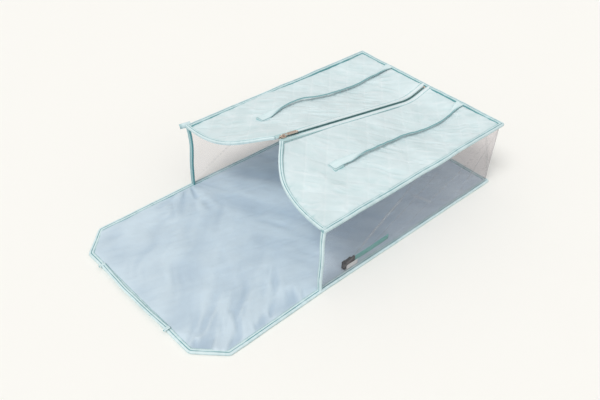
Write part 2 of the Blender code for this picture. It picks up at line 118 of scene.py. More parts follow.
def zip_height(y):
    """The zip line: straight, then curving up to the back seam."""
    straight = ZIP_RISE + ZIP_SLOPE * y
    t = (y - ZIP_STRAIGHT_END) / (HALF_DEPTH - ZIP_STRAIGHT_END)
    return RIM + straight * (1 - ease(t))


def top_height(x, y):
    s = np.abs(x) / HALF_WIDTH
    return RIM + (zip_height(y) - RIM) * (1 - s) + sag(y) * 4 * s * (1 - s)


def scoop_edge(x):
    return -HALF_DEPTH + SCOOP_DEPTH * np.exp(-((np.abs(x) / SCOOP_SPREAD) ** SCOOP_POWER))


def scoop_inset(x, distance):
    """The scoop edge moved back by a distance measured square to it."""
    step = 1e-4
    slope = (scoop_edge(np.abs(x) + step) - scoop_edge(np.abs(x) - step)) / (2 * step)
    return scoop_edge(x) + distance * np.hypot(1, slope)


LIE_START = -0.262
LIE_LENGTH = 0.245
LIE_TURN, LIE_FORWARD, LIE_SIDEWAYS = 0.046, 0.0050, 0.0050


def askew(points):
    """The open flap lies a little skewed on the table: longer at the left, moved to the right."""
    points = np.array(points, float)
    share = np.clip((LIE_START - points[..., 1]) / LIE_LENGTH, 0, 1)
    points[..., 1] += share * (LIE_TURN * points[..., 0] - LIE_FORWARD)
    points[..., 0] += share * LIE_SIDEWAYS
    return points


# ---------------------------------------------------------------- smooth random fields
NOISE_CELLS = 96


def noise(u, v, seed):
    """Smooth random heights from -1 to 1; u and v count cells."""
    table = np.random.RandomState(seed).uniform(-1, 1, (NOISE_CELLS, NOISE_CELLS))
    i, j = np.floor(u).astype(int), np.floor(v).astype(int)
    a, b = ease(u - i), ease(v - j)
    i0, i1 = i % NOISE_CELLS, (i + 1) % NOISE_CELLS
    j0, j1 = j % NOISE_CELLS, (j + 1) % NOISE_CELLS
    low = table[i0, j0] * (1 - a) + table[i1, j0] * a
    high = table[i0, j1] * (1 - a) + table[i1, j1] * a
    return low * (1 - b) + high * b


def wander(t, cell, seed):
    """Smooth random values along a line."""
    t = np.asarray(t, float)
    return noise(t / cell, np.full(t.shape, 0.5), seed)


def crinkles(x, y, heading, across, along, seed):
    """Sharp-edged creases that run at a heading, from -1 to 1."""
    c, s = math.cos(math.radians(heading)), math.sin(math.radians(heading))
    u, v = (x * c + y * s) / along, (y * c - x * s) / across
    return 1 - 2.6 * np.abs(noise(u, v, seed)) ** 0.8


def streaks(x, y, heading, across, along, seed):
    """Ripples that run at a heading from the X axis, in degrees."""
    c, s = math.cos(math.radians(heading)), math.sin(math.radians(heading))
    u, v = (x * c + y * s) / along, (y * c - x * s) / across
    return 0.65 * noise(u, v, seed) + 0.35 * noise(2 * u + 7, 2 * v + 3, seed + 1)


def fan(x, y, centre, step, along, seed):
    """Folds that spread from a centre; step is the angle of one fold in radians."""
    dx, dy = x - centre[0], y - centre[1]
    return noise(np.arctan2(dy, dx) / step + 40, np.hypot(dx, dy) / along, seed)


def near(distance, reach):
    """1 at no distance, fading to 0 over the reach."""
    return np.exp(-((np.maximum(distance, 0) / reach) ** 2))


# ---------------------------------------------------------------- mesh helpers
class Mesh:
    """Points and faces gathered for one piece."""

    def __init__(self):
        self.points, self.faces, self.looks, self.tints, self.count = [], [], [], [], 0

    def add(self, points, faces, look=0, tint=None):
        points = np.asarray(points, float).reshape(-1, 3)
        self.points.append(points)
        self.faces += [[i + self.count for i in face] for face in faces]
        self.looks += [look] * len(faces)
        self.tints.append(np.zeros(len(points)) if tint is None else np.ravel(tint))
        self.count += len(points)
        return self

    def piece(self, name, looks, sharp=48):
        """The object, with faces turned outward and painted shading that darkens its folds."""
        mesh = bpy.data.meshes.new(name)
        mesh.from_pydata(np.concatenate(self.points).tolist(), [], self.faces)
        mesh.polygons.foreach_set("material_index", self.looks)
        # Per-point painted shading that the materials read to paint shade into folds and recesses.
        tint = mesh.attributes.new("tint", "FLOAT", "POINT")
        tint.data.foreach_set("value", np.concatenate(self.tints).astype(np.float32))
        build = bmesh.new()
        build.from_mesh(mesh)
        bmesh.ops.recalc_face_normals(build, faces=build.faces)
        build.to_mesh(mesh)
        build.free()
        mesh.shade_smooth()
        mesh.set_sharp_from_angle(angle=math.radians(sharp))
        for look in looks:
            mesh.materials.append(look)
        item = bpy.data.objects.new(name, mesh)
        bpy.context.scene.collection.objects.link(item)
        return item


ACROSS, BACKWARD, UPWARD = np.eye(3)


def xyz(*parts):
    """Points from their coordinates, each one a number or an array."""
    return np.stack(np.broadcast_arrays(*parts), -1)


def grid_faces(rows, columns, start=0):
    i, j = np.meshgrid(np.arange(rows - 1), np.arange(columns - 1), indexing="ij")
    a = (i * columns + j + start).ravel()
    return xyz(a, a + 1, a + columns + 1, a + columns).tolist()


def border(rows, columns):
    """Point numbers round the edge of a grid."""
    first = list(range(columns))
    last = [i * columns + columns - 1 for i in range(1, rows)]
    back = [(rows - 1) * columns + j for j in range(columns - 2, -1, -1)]
    home = [i * columns for i in range(rows - 2, 0, -1)]
    return first + last + back + home


def shell(upper, lower):
    """Points and faces of a closed sheet between two grids of the same shape."""
    rows, columns = upper.shape[:2]
    size = rows * columns
    points = np.concatenate([upper.reshape(-1, 3), lower.reshape(-1, 3)])
    faces = grid_faces(rows, columns)
    faces += [face[::-1] for face in grid_faces(rows, columns, size)]
    edge = border(rows, columns)
    faces += [[b, a, a + size, b + size] for a, b in zip(edge, edge[1:] + edge[:1])]
    return points, faces


def unit(vectors):
    return vectors / np.maximum(np.linalg.norm(vectors, axis=-1, keepdims=True), 1e-12)


def tangents(path):
    return unit(np.gradient(path, axis=0))


def resample(path, step):
    """The polyline's points at an even spacing."""
    path = np.asarray(path, float)
    length = np.concatenate([[0], np.cumsum(np.linalg.norm(np.diff(path, axis=0), axis=1))])
    count = max(int(round(length[-1] / step)) + 1, 3)
    stations = np.linspace(0, length[-1], count)
    return np.stack([np.interp(stations, length, path[:, k]) for k in range(3)], 1)


def rounded(path, radius, step):
    """A polyline with its corners rounded and its ends kept, evenly spaced."""
    dense = resample(path, 0.001)
    reach = max(int(radius / 0.001), 1)
    head = dense[0] - (dense[reach:0:-1] - dense[0])
    foot = dense[-1] - (dense[-2 : -2 - reach : -1] - dense[-1])
    padded = np.concatenate([head, dense, foot])
    weights = np.hanning(2 * reach + 3)[1:-1]
    weights /= weights.sum()
    smooth = [np.convolve(padded[:, k], weights, "valid") for k in range(3)]
    return resample(np.stack(smooth, 1), step)


def side_faces(count, m):
    """Faces between rings of m points that follow each other."""
    return [
        [i * m + j, i * m + (j + 1) % m, (i + 1) * m + (j + 1) % m, (i + 1) * m + j]
        for i in range(count - 1)
        for j in range(m)
    ]


def sweep(path, side, up, section):
    """Points and faces of a section, (m, 2) or (n, m, 2), carried along n places."""
    side, up = np.broadcast_to(side, path.shape), np.broadcast_to(up, path.shape)
    section = np.broadcast_to(section, (len(path),) + np.shape(section)[-2:])
    rings = path[:, None] + section[..., :1] * side[:, None] + section[..., 1:] * up[:, None]
    n, m = rings.shape[:2]
    ends = [list(range(m)), list(range((n - 1) * m, n * m))[::-1]]
    return rings.reshape(-1, 3), side_faces(n, m) + ends


def circle(radius, sides, wide=1.0):
    a = np.linspace(0, 2 * math.pi, sides, endpoint=False)
    return xyz(radius * wide * np.cos(a), radius * np.sin(a))


def frames(path, hint):
    """Side and up vectors along a path, with up kept close to a hint."""
    along = tangents(path)
    side = unit(np.cross(along, np.broadcast_to(hint, along.shape)))
    return side, unit(np.cross(side, along))


def tube(path, hint, section):
    """A section carried along a path, its up kept close to a hint."""
    return sweep(path, *frames(path, hint), section)


def add_stitches(mesh, path, normal, length=0.0026, pitch=0.0036, radius=0.00028):
    """A row of short thread stitches lying on a surface, in the mesh's second material."""
    places = resample(path, pitch)
    along = tangents(places)
    normal = np.atleast_2d(np.asarray(normal, float))
    share, known = np.linspace(0, 1, len(places)), np.linspace(0, 1, len(normal))
    normal = xyz(*[np.interp(share, known, normal[:, k]) for k in range(3)])
    side = unit(np.cross(along, normal))
    up = unit(np.cross(side, along))
    reach = np.array([-0.5, -0.36, 0.36, 0.5]) * length
    sink = np.array([-1.1, 0.0, 0.0, -1.1]) * radius
    section = circle(radius, 6)[None] * np.array([0.35, 1.0, 1.0, 0.35])[:, None, None]
    for p, a, s, u in zip(places, along, side, up):
        spine = p + a * reach[:, None] + u * sink[:, None]
        points, faces = sweep(spine, s, u, section)
        mesh.add(points, faces, 1)


def settle(piece, body, slot, *stands_for):
    """Hides the CAD nodes a piece stands for and hangs the piece on the body it rides; slot, what it
    is made of, is not used.
    """
    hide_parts(*stands_for)
    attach(piece, body)


# ---------------------------------------------------------------- material helpers
def set_input(tree, socket, value):
    """Links a socket to a node's output, or gives it a value."""
    if isinstance(value, bpy.types.NodeSocket):
        tree.links.new(value, socket)
    else:
        socket.default_value = value


def node(tree, kind, inputs=None, **settings):
    made = tree.nodes.new("ShaderNode" + kind)
    for key, value in settings.items():
        setattr(made, key, value)
    for key, value in (inputs or {}).items():
        set_input(tree, made.inputs[key], value)
    return made


def new_material(name, **values):
    look = bpy.data.materials.new(name)
    look.use_nodes = True
    shader = look.node_tree.nodes["Principled BSDF"]
    for socket, value in values.items():
        shader.inputs[socket.replace("_", " ")].default_value = value
    return look, look.node_tree, shader


def own_place(tree):
    """Texture coordinates in metres on the object."""
    return node(tree, "TexCoord").outputs["Object"]


def cloudy(tree, place, scale, detail=2.0):
    return node(tree, "TexNoise", {"Vector": place, "Scale": scale, "Detail": detail}).outputs["Fac"]


# Share of painted shade at each point, from the mesh's painted shading attribute.
def read_painted_shading(tree):
    return node(tree, "Attribute", attribute_name="tint").outputs["Fac"]


def blend_colour(tree, factor, first, second):
    made = node(tree, "Mix", data_type="RGBA")
    for index, value in ((0, factor), (6, (*first, 1)), (7, (*second, 1))):
        set_input(tree, made.inputs[index], value)
    return made.outputs[2]


def math_node(tree, operation, first, second=0.0):
    return node(tree, "Math", {0: first, 1: second}, operation=operation).outputs[0]


def add_bump(tree, shader, height, strength, distance):
    made = node(tree, "Bump", {"Height": height, "Strength": strength, "Distance": distance})
    tree.links.new(made.outputs[0], shader.inputs["Normal"])


def uneven_roughness(tree, shader, grain, share, least):
    rough = math_node(tree, "ADD", math_node(tree, "MULTIPLY", grain, share), least)
    tree.links.new(rough, shader.inputs["Roughness"])


def thread_wave(tree, place, direction, period):
    """Bands across one axis; a band repeats after the period in metres."""
    scale = 2 * math.pi / (20 * period)
    wave = node(tree, "TexWave", {"Vector": place, "Scale": scale}, bands_direction=direction)
    wave.wave_profile = "SIN"
    return wave.outputs["Fac"]


def weave_height(tree, place, period):
    """Crossed threads with some unevenness."""
    warp, weft, rise = [thread_wave(tree, place, axis, period) for axis in "XYZ"]
    crossed = math_node(tree, "ADD", math_node(tree, "MULTIPLY", warp, weft), rise)
    return math_node(tree, "ADD", crossed, cloudy(tree, place, 420.0))


def cloth(name, colour, crease_shade, period, roughness, sheen, relief):
    """Woven cloth: painted shade in its folds from the mesh's painted shading, cloudy variation in
    tone and thread relief.
    """
    look, tree, shader = new_material(
        name,
        Roughness=roughness,
        Sheen_Weight=sheen,
        Sheen_Roughness=0.4,
        Specular_IOR_Level=0.3,
    )
    place = own_place(tree)
    painted_creases = blend_colour(tree, read_painted_shading(tree), colour, crease_shade)
    spread = {"Value": cloudy(tree, place, 21.0, 5.0), "From Min": 0.3, "From Max": 0.7}
    spread |= {"To Min": 0.94, "To Max": 1.03}
    brightness = node(tree, "MapRange", spread).outputs[0]
    varied = node(tree, "HueSaturation", {"Color": painted_creases, "Value": brightness})
    tree.links.new(varied.outputs[0], shader.inputs["Base Color"])
    add_bump(tree, shader, weave_height(tree, place, period), relief, 0.0002)
    return look


def clear_film():
    """Flexible clear vinyl: see-through, glossy at a slant, slightly hazy, with a painted reflection
    along its folds.
    """
    look, tree, shader = new_material("clear_vinyl", Roughness=0.12, IOR=1.5)
    haze = cloudy(tree, own_place(tree), 9.0, 4.0)
    shade = blend_colour(tree, haze, (0.40, 0.40, 0.42), (0.52, 0.51, 0.52))
    tree.links.new(shade, shader.inputs["Base Color"])
    slant = node(tree, "LayerWeight", {"Blend": 0.5}).outputs["Facing"]
    gloss = math_node(tree, "MULTIPLY", math_node(tree, "POWER", slant, 3.0), 0.42)
    cover = math_node(tree, "ADD", gloss, 0.016)
    # Along its folds the film gets more cover: a painted reflection that makes them paler and less
    # clear.
    painted_creases = math_node(tree, "MULTIPLY", read_painted_shading(tree), 0.34)
    cover = math_node(tree, "ADD", cover, painted_creases)
    add_bump(tree, shader, haze, 0.25, 0.002)
    through = node(tree, "BsdfTransparent", {"Color": (0.962, 0.952, 0.956, 1)})
    layers = {0: cover, 1: through.outputs[0], 2: shader.outputs[0]}
    mixed = node(tree, "MixShader", layers)
    tree.links.new(mixed.outputs[0], tree.nodes["Material Output"].inputs["Surface"])
    return look


def metal(name, colour, roughness):
    """Plated metal with fine brushing and slight wear."""
    look, tree, shader = new_material(name, Metallic=1.0)
    place = own_place(tree)
    stretch = node(tree, "Mapping", {"Vector": place, "Scale": (900.0, 120.0, 900.0)})
    worn = cloudy(tree, place, 260.0, 4.0)
    shade = blend_colour(tree, worn, colour, [0.62 * c for c in colour])
    tree.links.new(shade, shader.inputs["Base Color"])
    uneven_roughness(tree, shader, worn, 0.25, roughness)
    add_bump(tree, shader, cloudy(tree, stretch.outputs[0], 3.0), 0.15, 0.0001)
    return look


def plastic(name, colour, roughness):
    """Moulded plastic with a fine spark texture."""
    look, tree, shader = new_material(name, Base_Color=(*colour, 1))
    grain = cloudy(tree, own_place(tree), 2600.0)
    uneven_roughness(tree, shader, grain, 0.2, roughness)
    add_bump(tree, shader, grain, 0.2, 0.0001)
    return look


# Cloths: material name, colour, colour of painted shade in folds, thread spacing, roughness, sheen,
# thread relief.
CLOTHS = {
    "quilt": ("quilt_cloth", (0.745, 0.835, 0.865), (0.33, 0.58, 0.60), 0.0009, 0.62, 0.25, 0.35),
    "lining": ("satin_lining", (0.600, 0.712, 0.800), (0.25, 0.37, 0.52), 0.0007, 0.36, 0.15, 0.2),
    "tape": ("binding_tape", (0.72, 0.855, 0.885), (0.11, 0.33, 0.36), 0.0011, 0.48, 0.2, 0.3),
    "webbing": ("teal_webbing", (0.22, 0.60, 0.56), (0.06, 0.25, 0.24), 0.0016, 0.7, 0.2, 0.8),
    "white_tape": ("white_tape", (0.84, 0.86, 0.86), (0.45, 0.52, 0.53), 0.0010, 0.7, 0.2, 0.5),
    "zip_tape": ("zip_tape", (0.50, 0.70, 0.72), (0.20, 0.40, 0.41), 0.0008, 0.75, 0.1, 0.6),
    "thread": ("sewing_thread", (0.66, 0.84, 0.84), (0.3, 0.5, 0.5), 0.0004, 0.5, 0.2, 0.4),
    "teal_thread": ("teal_thread", (0.16, 0.42, 0.43), (0.08, 0.24, 0.25), 0.0004, 0.5, 0.2, 0.4),
}


def make_looks():
    looks = {key: cloth(*values) for key, values in CLOTHS.items()}
    looks["coil"] = plastic("zip_nylon", (0.080, 0.190, 0.195), 0.32)
    looks["film"] = clear_film()
    looks["metal"] = metal("plated_metal", (0.86, 0.70, 0.60), 0.16)
    looks["black"] = plastic("black_plastic", (0.012, 0.012, 0.014), 0.30)
    return looks


# ---------------------------------------------------------------- camera, light, floor
CAMERA_PLACE = (0.7428, -0.8159, 0.8761)
CAMERA_TILT, CAMERA_ROLL, CAMERA_HEADING = 49.8295, -1.6469, 48.2989
CAMERA_LENS = 39.34


def make_camera():
    data = bpy.data.cameras.new("camera")
    data.lens = CAMERA_LENS
    data.sensor_width = 36.0
    camera = bpy.data.objects.new("camera", data)
    camera.location = CAMERA_PLACE
    turn = (CAMERA_TILT, CAMERA_ROLL, CAMERA_HEADING)
    camera.rotation_euler = [math.radians(angle) for angle in turn]
    bpy.context.scene.collection.objects.link(camera)
    bpy.context.scene.camera = camera


def make_sun(name, heading, elevation, strength, softness, colour):
    """A soft distant light that comes from a heading and an elevation, in degrees."""
    data = bpy.data.lights.new(name, "SUN")
    data.energy = strength
    data.angle = math.radians(softness)
    data.color = colour
    lamp = bpy.data.objects.new(name, data)
    a, e = math.radians(heading), math.radians(elevation)
    back = Vector((math.sin(a) * math.cos(e), -math.cos(a) * math.cos(e), math.sin(e)))
    lamp.rotation_mode = "QUATERNION"
    lamp.rotation_quaternion = (-back).to_track_quat("-Z", "Y")
    bpy.context.scene.collection.objects.link(lamp)


def make_floor():
    side, drop = 6.0, -0.0004
    mesh = bpy.data.meshes.new("floor")
    corners = [(-side, -side, drop), (side, -side, drop), (side, side, drop), (-side, side, drop)]
    mesh.from_pydata(corners, [], [(0, 1, 2, 3)])
    floor = bpy.data.objects.new("floor", mesh)
    bpy.context.scene.collection.objects.link(floor)
    look, tree, shader = new_material("studio_floor", Roughness=0.9)
    faint = cloudy(tree, own_place(tree), 3.0)
    pale = blend_colour(tree, faint, (0.925, 0.915, 0.885), (0.935, 0.925, 0.895))
    tree.links.new(pale, shader.inputs["Base Color"])
    mesh.materials.append(look)


def make_studio():
    bpy.context.scene.view_settings.view_transform = "Standard"
    world = bpy.data.worlds.new("studio")
    bpy.context.scene.world = world
    world.use_nodes = True
    sky = world.node_tree.nodes["Background"]
    sky.inputs["Color"].default_value = (0.985, 0.978, 0.958, 1)
    sky.inputs["Strength"].default_value = 0.645
    make_sun("key", 12, 56, 1.31, 22, (1.0, 0.99, 0.97))
    make_sun("fill", 120, 55, 0.25, 70, (0.96, 0.985, 1.0))
    make_floor()


# ---------------------------------------------------------------- bound seam edges
# One side of a folded tape, from its outer fold to its inner hem: place across the width,
# share of full height, depth of painted shade in its folds and at its hem.
TAPE_PROFILE = [
    (0.00, 0.00, 0.30),
    (0.03, 0.50, 0.15),
    (0.10, 0.86, 0.05),
    (0.22, 1.00, 0.00),
    (0.34, 0.95, 0.10),
    (0.41, 0.76, 0.90),
    (0.48, 0.78, 0.90),
    (0.55, 0.96, 0.05),
    (0.66, 1.00, 0.00),
    (0.76, 0.86, 0.20),
    (0.80, 0.70, 0.60),
    (0.86, 0.82, 0.25),
    (0.93, 0.66, 0.85),
    (1.00, 0.30, 1.00),
]
TAPE_DIP = 5
STITCH_SHARE = 0.80


def binding(mesh, path, inward, up, seed, width=TAPE_WIDTH, top=0.0026, bottom=0.0024, shade=0.0):
    """A folded tape round a seam: creased, puckered along its length and stitched."""
    inward, up = np.broadcast_to(inward, path.shape), np.broadcast_to(up, path.shape)
    t = np.arange(len(path)) * np.linalg.norm(path[1] - path[0])
    across, height, crease_shade = np.array(TAPE_PROFILE).T
    pucker = 1 + 0.10 * wander(t, 0.006, seed) + 0.08 * wander(t, 0.021, seed + 1)
    drift = 0.00045 * wander(t, 0.030, seed + 2)
    swell = 1 + 0.07 * wander(t, 0.045, seed + 3)
    s_top = width * across[None] * swell[:, None] + drift[:, None]
    u_top = top * height[None] * pucker[:, None]
    u_top[:, TAPE_DIP] *= 0.9 + 0.25 * wander(t, 0.008, seed + 4)
    u_low = np.broadcast_to(-bottom * np.minimum(1.0, 1.25 * height), u_top.shape)
    s = np.concatenate([s_top, s_top[:, -1:0:-1]], 1)
    u = np.concatenate([u_top, u_low[:, -1:0:-1]], 1)
    points, faces = sweep(path, inward, up, xyz(s, u))
    # Painted shade: deepest in the tape's folds and at its hem, plus the given shade and small
    # patches of shade along the puckers.
    tint = np.concatenate([crease_shade, crease_shade[-1:0:-1]])[None]
    tint = np.clip(tint * (1 + 0.5 * wander(t, 0.012, seed + 5))[:, None], 0, 1)
    tint += shade + 0.18 * np.clip(wander(t, 0.004, seed + 6), 0, 1)[:, None]
    mesh.add(points, faces, 0, np.clip(tint, 0, 1))
    line = path + inward * (width * STITCH_SHARE * swell + drift)[:, None]
    line = line + up * (top * 0.70 * pucker + 0.0001)[:, None]
    add_stitches(mesh, line, up.mean(0))
    return mesh


def inward_of(path, sign):
    """Inward vectors of a level path, to the right of travel for +1."""
    along = tangents(path)
    along[:, 2] = 0
    return sign * np.cross(unit(along), UPWARD)


def make_floor_bindings(tapes):
    """Bindings round the bottom and the flap, and round the tail's cut corners."""
    x, y, z = HALF_WIDTH + EDGE_OVERHANG, HALF_DEPTH + EDGE_OVERHANG, FLOOR_TAPE_Z
    route = [(-x, SPLIT_Y, z), (-x, y, z), (x, y, z), (x, SPLIT_Y, z)]
    path = askew(rounded(route, 0.007, 0.002))
    piece = binding(Mesh(), path, inward_of(path, 1), UPWARD, 100)
    piece = piece.piece("bottom_and_flap_binding", tapes)
    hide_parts("binding_bottom_left", "binding_bottom_right", "binding_bottom_back")
    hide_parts("flap_binding_left", "flap_binding_right")
    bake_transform(piece)

    corner = TAIL_CORNER_X + 0.0006
    route = [(-x, SPLIT_Y, z), (-x, FOLD_Y, z), (-corner, TAIL_END_Y - EDGE_OVERHANG, z)]
    route += [(-px, py, pz) for px, py, pz in reversed(route)]
    path = askew(rounded(route, 0.008, 0.002))
    piece = binding(Mesh(), path, inward_of(path, -1), UPWARD, 130)
    piece = piece.piece("tail_edge_binding", tapes)
    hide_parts("tail_binding")
    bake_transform(piece)


def make_rim_binding(tapes):
    x, y, z = HALF_WIDTH + EDGE_OVERHANG, HALF_DEPTH + EDGE_OVERHANG, RIM - 0.0022
    front = -HALF_DEPTH - 0.0006
    path = rounded([(-x, front, z), (-x, y, z), (x, y, z), (x, front, z)], 0.006, 0.002)
    path[:, 0] += 0.0008 * wander(path[:, 1], 0.035, 160)
    path[:, 2] += 0.0009 * wander(path[:, 1] + path[:, 0], 0.050, 161)
    inward = inward_of(path, 1)
    mesh = binding(Mesh(), path, inward, UPWARD, 165, top=0.0034, bottom=0.0030, shade=0.07)
    piece = mesh.piece("top_rim_binding", tapes)
    stands_for = ("binding_top_left", "binding_top_right", "binding_top_back")
    settle(piece, "cube", "binding_tape", *stands_for)


def post_bow(side, z):
    """How far the film's front edge leans toward the middle, by height."""
    t = np.clip(z / RIM, 0, 1)
    if side == "left":
        return 0.0065 * np.exp(-(((t - 0.70) / 0.26) ** 2)) * ease((1 - t) * 9)
    return 0.0022 * np.sin(math.pi * t) + 0.0012 * np.sin(3 * math.pi * t)


POST_SHADE = {"left": 0.42, "right": 0.0}


def make_posts(tapes):
    for side, sign in SIDES:
        z = np.linspace(0.0035, RIM - 0.003, 74)
        x = sign * (HALF_WIDTH + 0.0006 - post_bow(side, z))
        y = -HALF_DEPTH + 0.0026 + 0.0004 * wander(z, 0.03, 180)
        inward, shade = -sign * ACROSS, POST_SHADE[side]
        mesh = Mesh()
        binding(mesh, xyz(x, y, z), inward, -BACKWARD, 185 + sign, width=0.0100, shade=shade)
        piece = mesh.piece("post_edge_binding_" + side, tapes)
        settle(piece, "cube", "binding_tape", "post_binding_" + side)


def make_scoop_bindings(tapes):
    for side, sign in SIDES:
        x = sign * np.linspace(0.0062, HALF_WIDTH - 0.0015, 420)
        y = scoop_edge(x) - 0.0006
        path = resample(xyz(x, y, top_height(x, y) - 0.0012), 0.0015)
        along = tangents(path)
        inward = unit(sign * np.cross(UPWARD, along))
        up = unit(sign * np.cross(along, inward))
        mesh = binding(Mesh(), path, inward, up, 200 + 10 * sign, width=0.0085, bottom=0.0034)
        piece = mesh.piece("scoop_edge_binding_" + side, tapes)
        settle(piece, "cube", "binding_tape", "scoop_binding_" + side)


def make_loose_end(tapes):
    """The unfinished end of the top left binding: a flattened open tube."""
    start = np.array([-HALF_WIDTH - 0.0022, -HALF_DEPTH + 0.012, RIM - 0.0024])
    bend = start + (-0.0012, -0.010, 0.0002)
    tip = start + (-0.0058, -0.0205, -0.0016)
    path = rounded([start, bend, tip], 0.006, 0.0012)
    n, m = len(path), 20
    wobble = 1 + 0.08 * wander(np.arange(n) * 0.0012, 0.004, 230)[:, None, None]
    outside, faces_out = tube(path, UPWARD, circle(0.0056, m, 0.76)[None] * wobble)
    inside, faces_in = tube(path, UPWARD, circle(0.0047, m, 0.70)[None] * wobble)
    faces = faces_out[:-1] + [[i + n * m for i in face[::-1]] for face in faces_in[:-1]]
    last = (n - 1) * m
    for j in range(m):
        k = (j + 1) % m
        faces.append([last + j, last + k, n * m + last + k, n * m + last + j])
    # Painted shade: darker towards the open end, and fully dark inside the tube.
    rim_shade = 0.10 + 0.45 * ease(np.linspace(-1.5, 1, n))
    tint = np.concatenate([np.repeat(rim_shade, m), np.full(n * m, 1.0)])
    mesh = Mesh().add(np.concatenate([outside, inside]), faces, 0, tint)
    piece = mesh.piece("loose_binding_tube", tapes[:1])
    settle(piece, "cube", "binding_tape", "binding_loose_end")


# ---------------------------------------------------------------- quilted panels
def quilt_pattern(x, y):
    """Puff height from 0 on the sewn diamonds to 1 between, and puckers beside the lines."""
    wx = x + 0.0013 * noise(x / 0.045, y / 0.045, 11)
    wy = y + 0.0013 * noise(x / 0.045, y / 0.045, 12)
    a, b = (wx + wy) / math.sqrt(2), (wx - wy) / math.sqrt(2)
    da = np.abs(a / QUILT_STEP - np.round(a / QUILT_STEP)) * QUILT_STEP
    db = np.abs(b / QUILT_STEP - np.round(b / QUILT_STEP)) * QUILT_STEP
    puff = (1 - np.exp(-da / 0.0036)) * (1 - np.exp(-db / 0.0036))
    across_a = noise(b / 0.0034, a / 0.02, 13) * np.exp(-((da / 0.006) ** 2))
    across_b = noise(a / 0.0034, b / 0.02, 14) * np.exp(-((db / 0.006) ** 2))
    return puff, across_a + across_b


def gathers(x, y, seed):
    """Small gathers where the cloth is sewn into its seams, and how firmly it is held there."""
    front = y - scoop_edge(x)
    seam = HALF_WIDTH - np.abs(x)
    rear = HALF_DEPTH - y
    gather = noise(x / 0.0042, front / 0.018, seed + 6) * near(front - 0.004, 0.016)
    gather = gather + 0.7 * noise(y / 0.0050, seam / 0.015, seed + 7) * near(seam - 0.006, 0.011)
    gather = gather + 0.6 * noise(x / 0.0055, rear / 0.015, seed + 8) * near(rear - 0.006, 0.010)
    held = near(front - 0.006, 0.007) + near(seam - 0.007, 0.006) + near(rear - 0.007, 0.006)
    return gather, held


def top_relief(x, y, side):
    """Relief of the quilted top over its smooth shape, and its painted shading: shade in grooves,
    folds and gathers, painted light on crests.
    """
    seed = 300 if side == "left" else 340
    puff, pucker = quilt_pattern(x, y)
    relief = 0.0011 * puff - 0.0006 + 0.00022 * pucker
    bend = 0.006 * noise(x / 0.04, y / 0.04, seed + 3)
    fine = crinkles(x + bend, y - bend, 50, 0.0070, 0.026, seed)
    cross = crinkles(x - bend, y + bend, 40, 0.0130, 0.036, seed + 2)
    patchy = 0.5 + 0.5 * noise(x / 0.024, y / 0.024, seed + 4)
    swells = 0.5 + 0.5 * noise(x / 0.030, y / 0.030, seed + 10)
    relief = relief + 0.00070 * fine * patchy + 0.00110 * cross * swells
    relief = relief + 0.0016 * noise(x / 0.060, y / 0.060, seed + 5)
    if side == "left":
        mask = near(np.abs(x + 0.052), 0.042) * near(np.abs(y - 0.045), 0.110)
        relief = relief + 0.0013 * streaks(x, y, 54, 0.0095, 0.090, 320) * mask
    gather, held = gathers(x, y, seed)
    relief = relief + 0.00075 * gather
    relief = relief * (1 - 0.75 * np.clip(held, 0, 1)) - 0.0012 * np.clip(held, 0, 1)

    groove = np.exp(-(((np.abs(x) - HEM_STITCH) / 0.0012) ** 2))
    fold = 0.0011 * near(np.abs(np.abs(x) - 0.0082), 0.0028)
    bumps = noise(y / 0.0036, np.abs(x) / 0.01, seed + 9)
    strip = fold - 0.0011 * groove + 0.00022 * bumps - 0.0009 * near(np.abs(x) - HEM_EDGE, 0.0012)
    share = ease((np.abs(x) - 0.0135) / 0.006)
    relief = strip * (1 - share) + relief * share

    crests = np.clip(fine, 0, 1) * patchy + np.clip(cross, 0, 1) * swells
    valley = np.clip(-fine, 0, 1) * patchy + np.clip(-cross, 0, 1) * swells
    # Painted shading of the relief: shade in the diamond grooves and fold valleys, painted light on
    # the crests.
    relief_shading = 0.20 - 0.19 * np.exp(-puff / 0.14) - 0.13 * crests + 0.12 * valley
    # Painted shade along the hem's stitch groove, in deep gathers and where the cloth is held tight
    # at its seams.
    tint = 1.2 * groove * (0.6 + 0.4 * bumps)
    tint = tint + share * (np.clip(-gather - 0.30, 0, 1) + relief_shading)
    tint = tint + 0.5 * np.clip(held - 0.75, 0, 1) * share
    return relief, np.clip(tint, 0, 1) * 0.8


QUILT_THICKNESS = 0.0032


def top_grid(sign, rows, columns, front_inset, inner, outer):
    xs = sign * (inner + (outer - inner) * np.linspace(0, 1, columns))
    t = np.linspace(0, 1, rows)[:, None]
    front = scoop_inset(xs, front_inset)
    y = front[None] + (HALF_DEPTH - 0.0045 - front[None]) * t
    return np.broadcast_to(xs, y.shape), y


def rounded_lip(x):
    """Height lost towards the hem so that its edge is a soft fold."""
    return 0.0016 * np.exp(-((np.abs(x) - HEM_EDGE) / 0.0009))


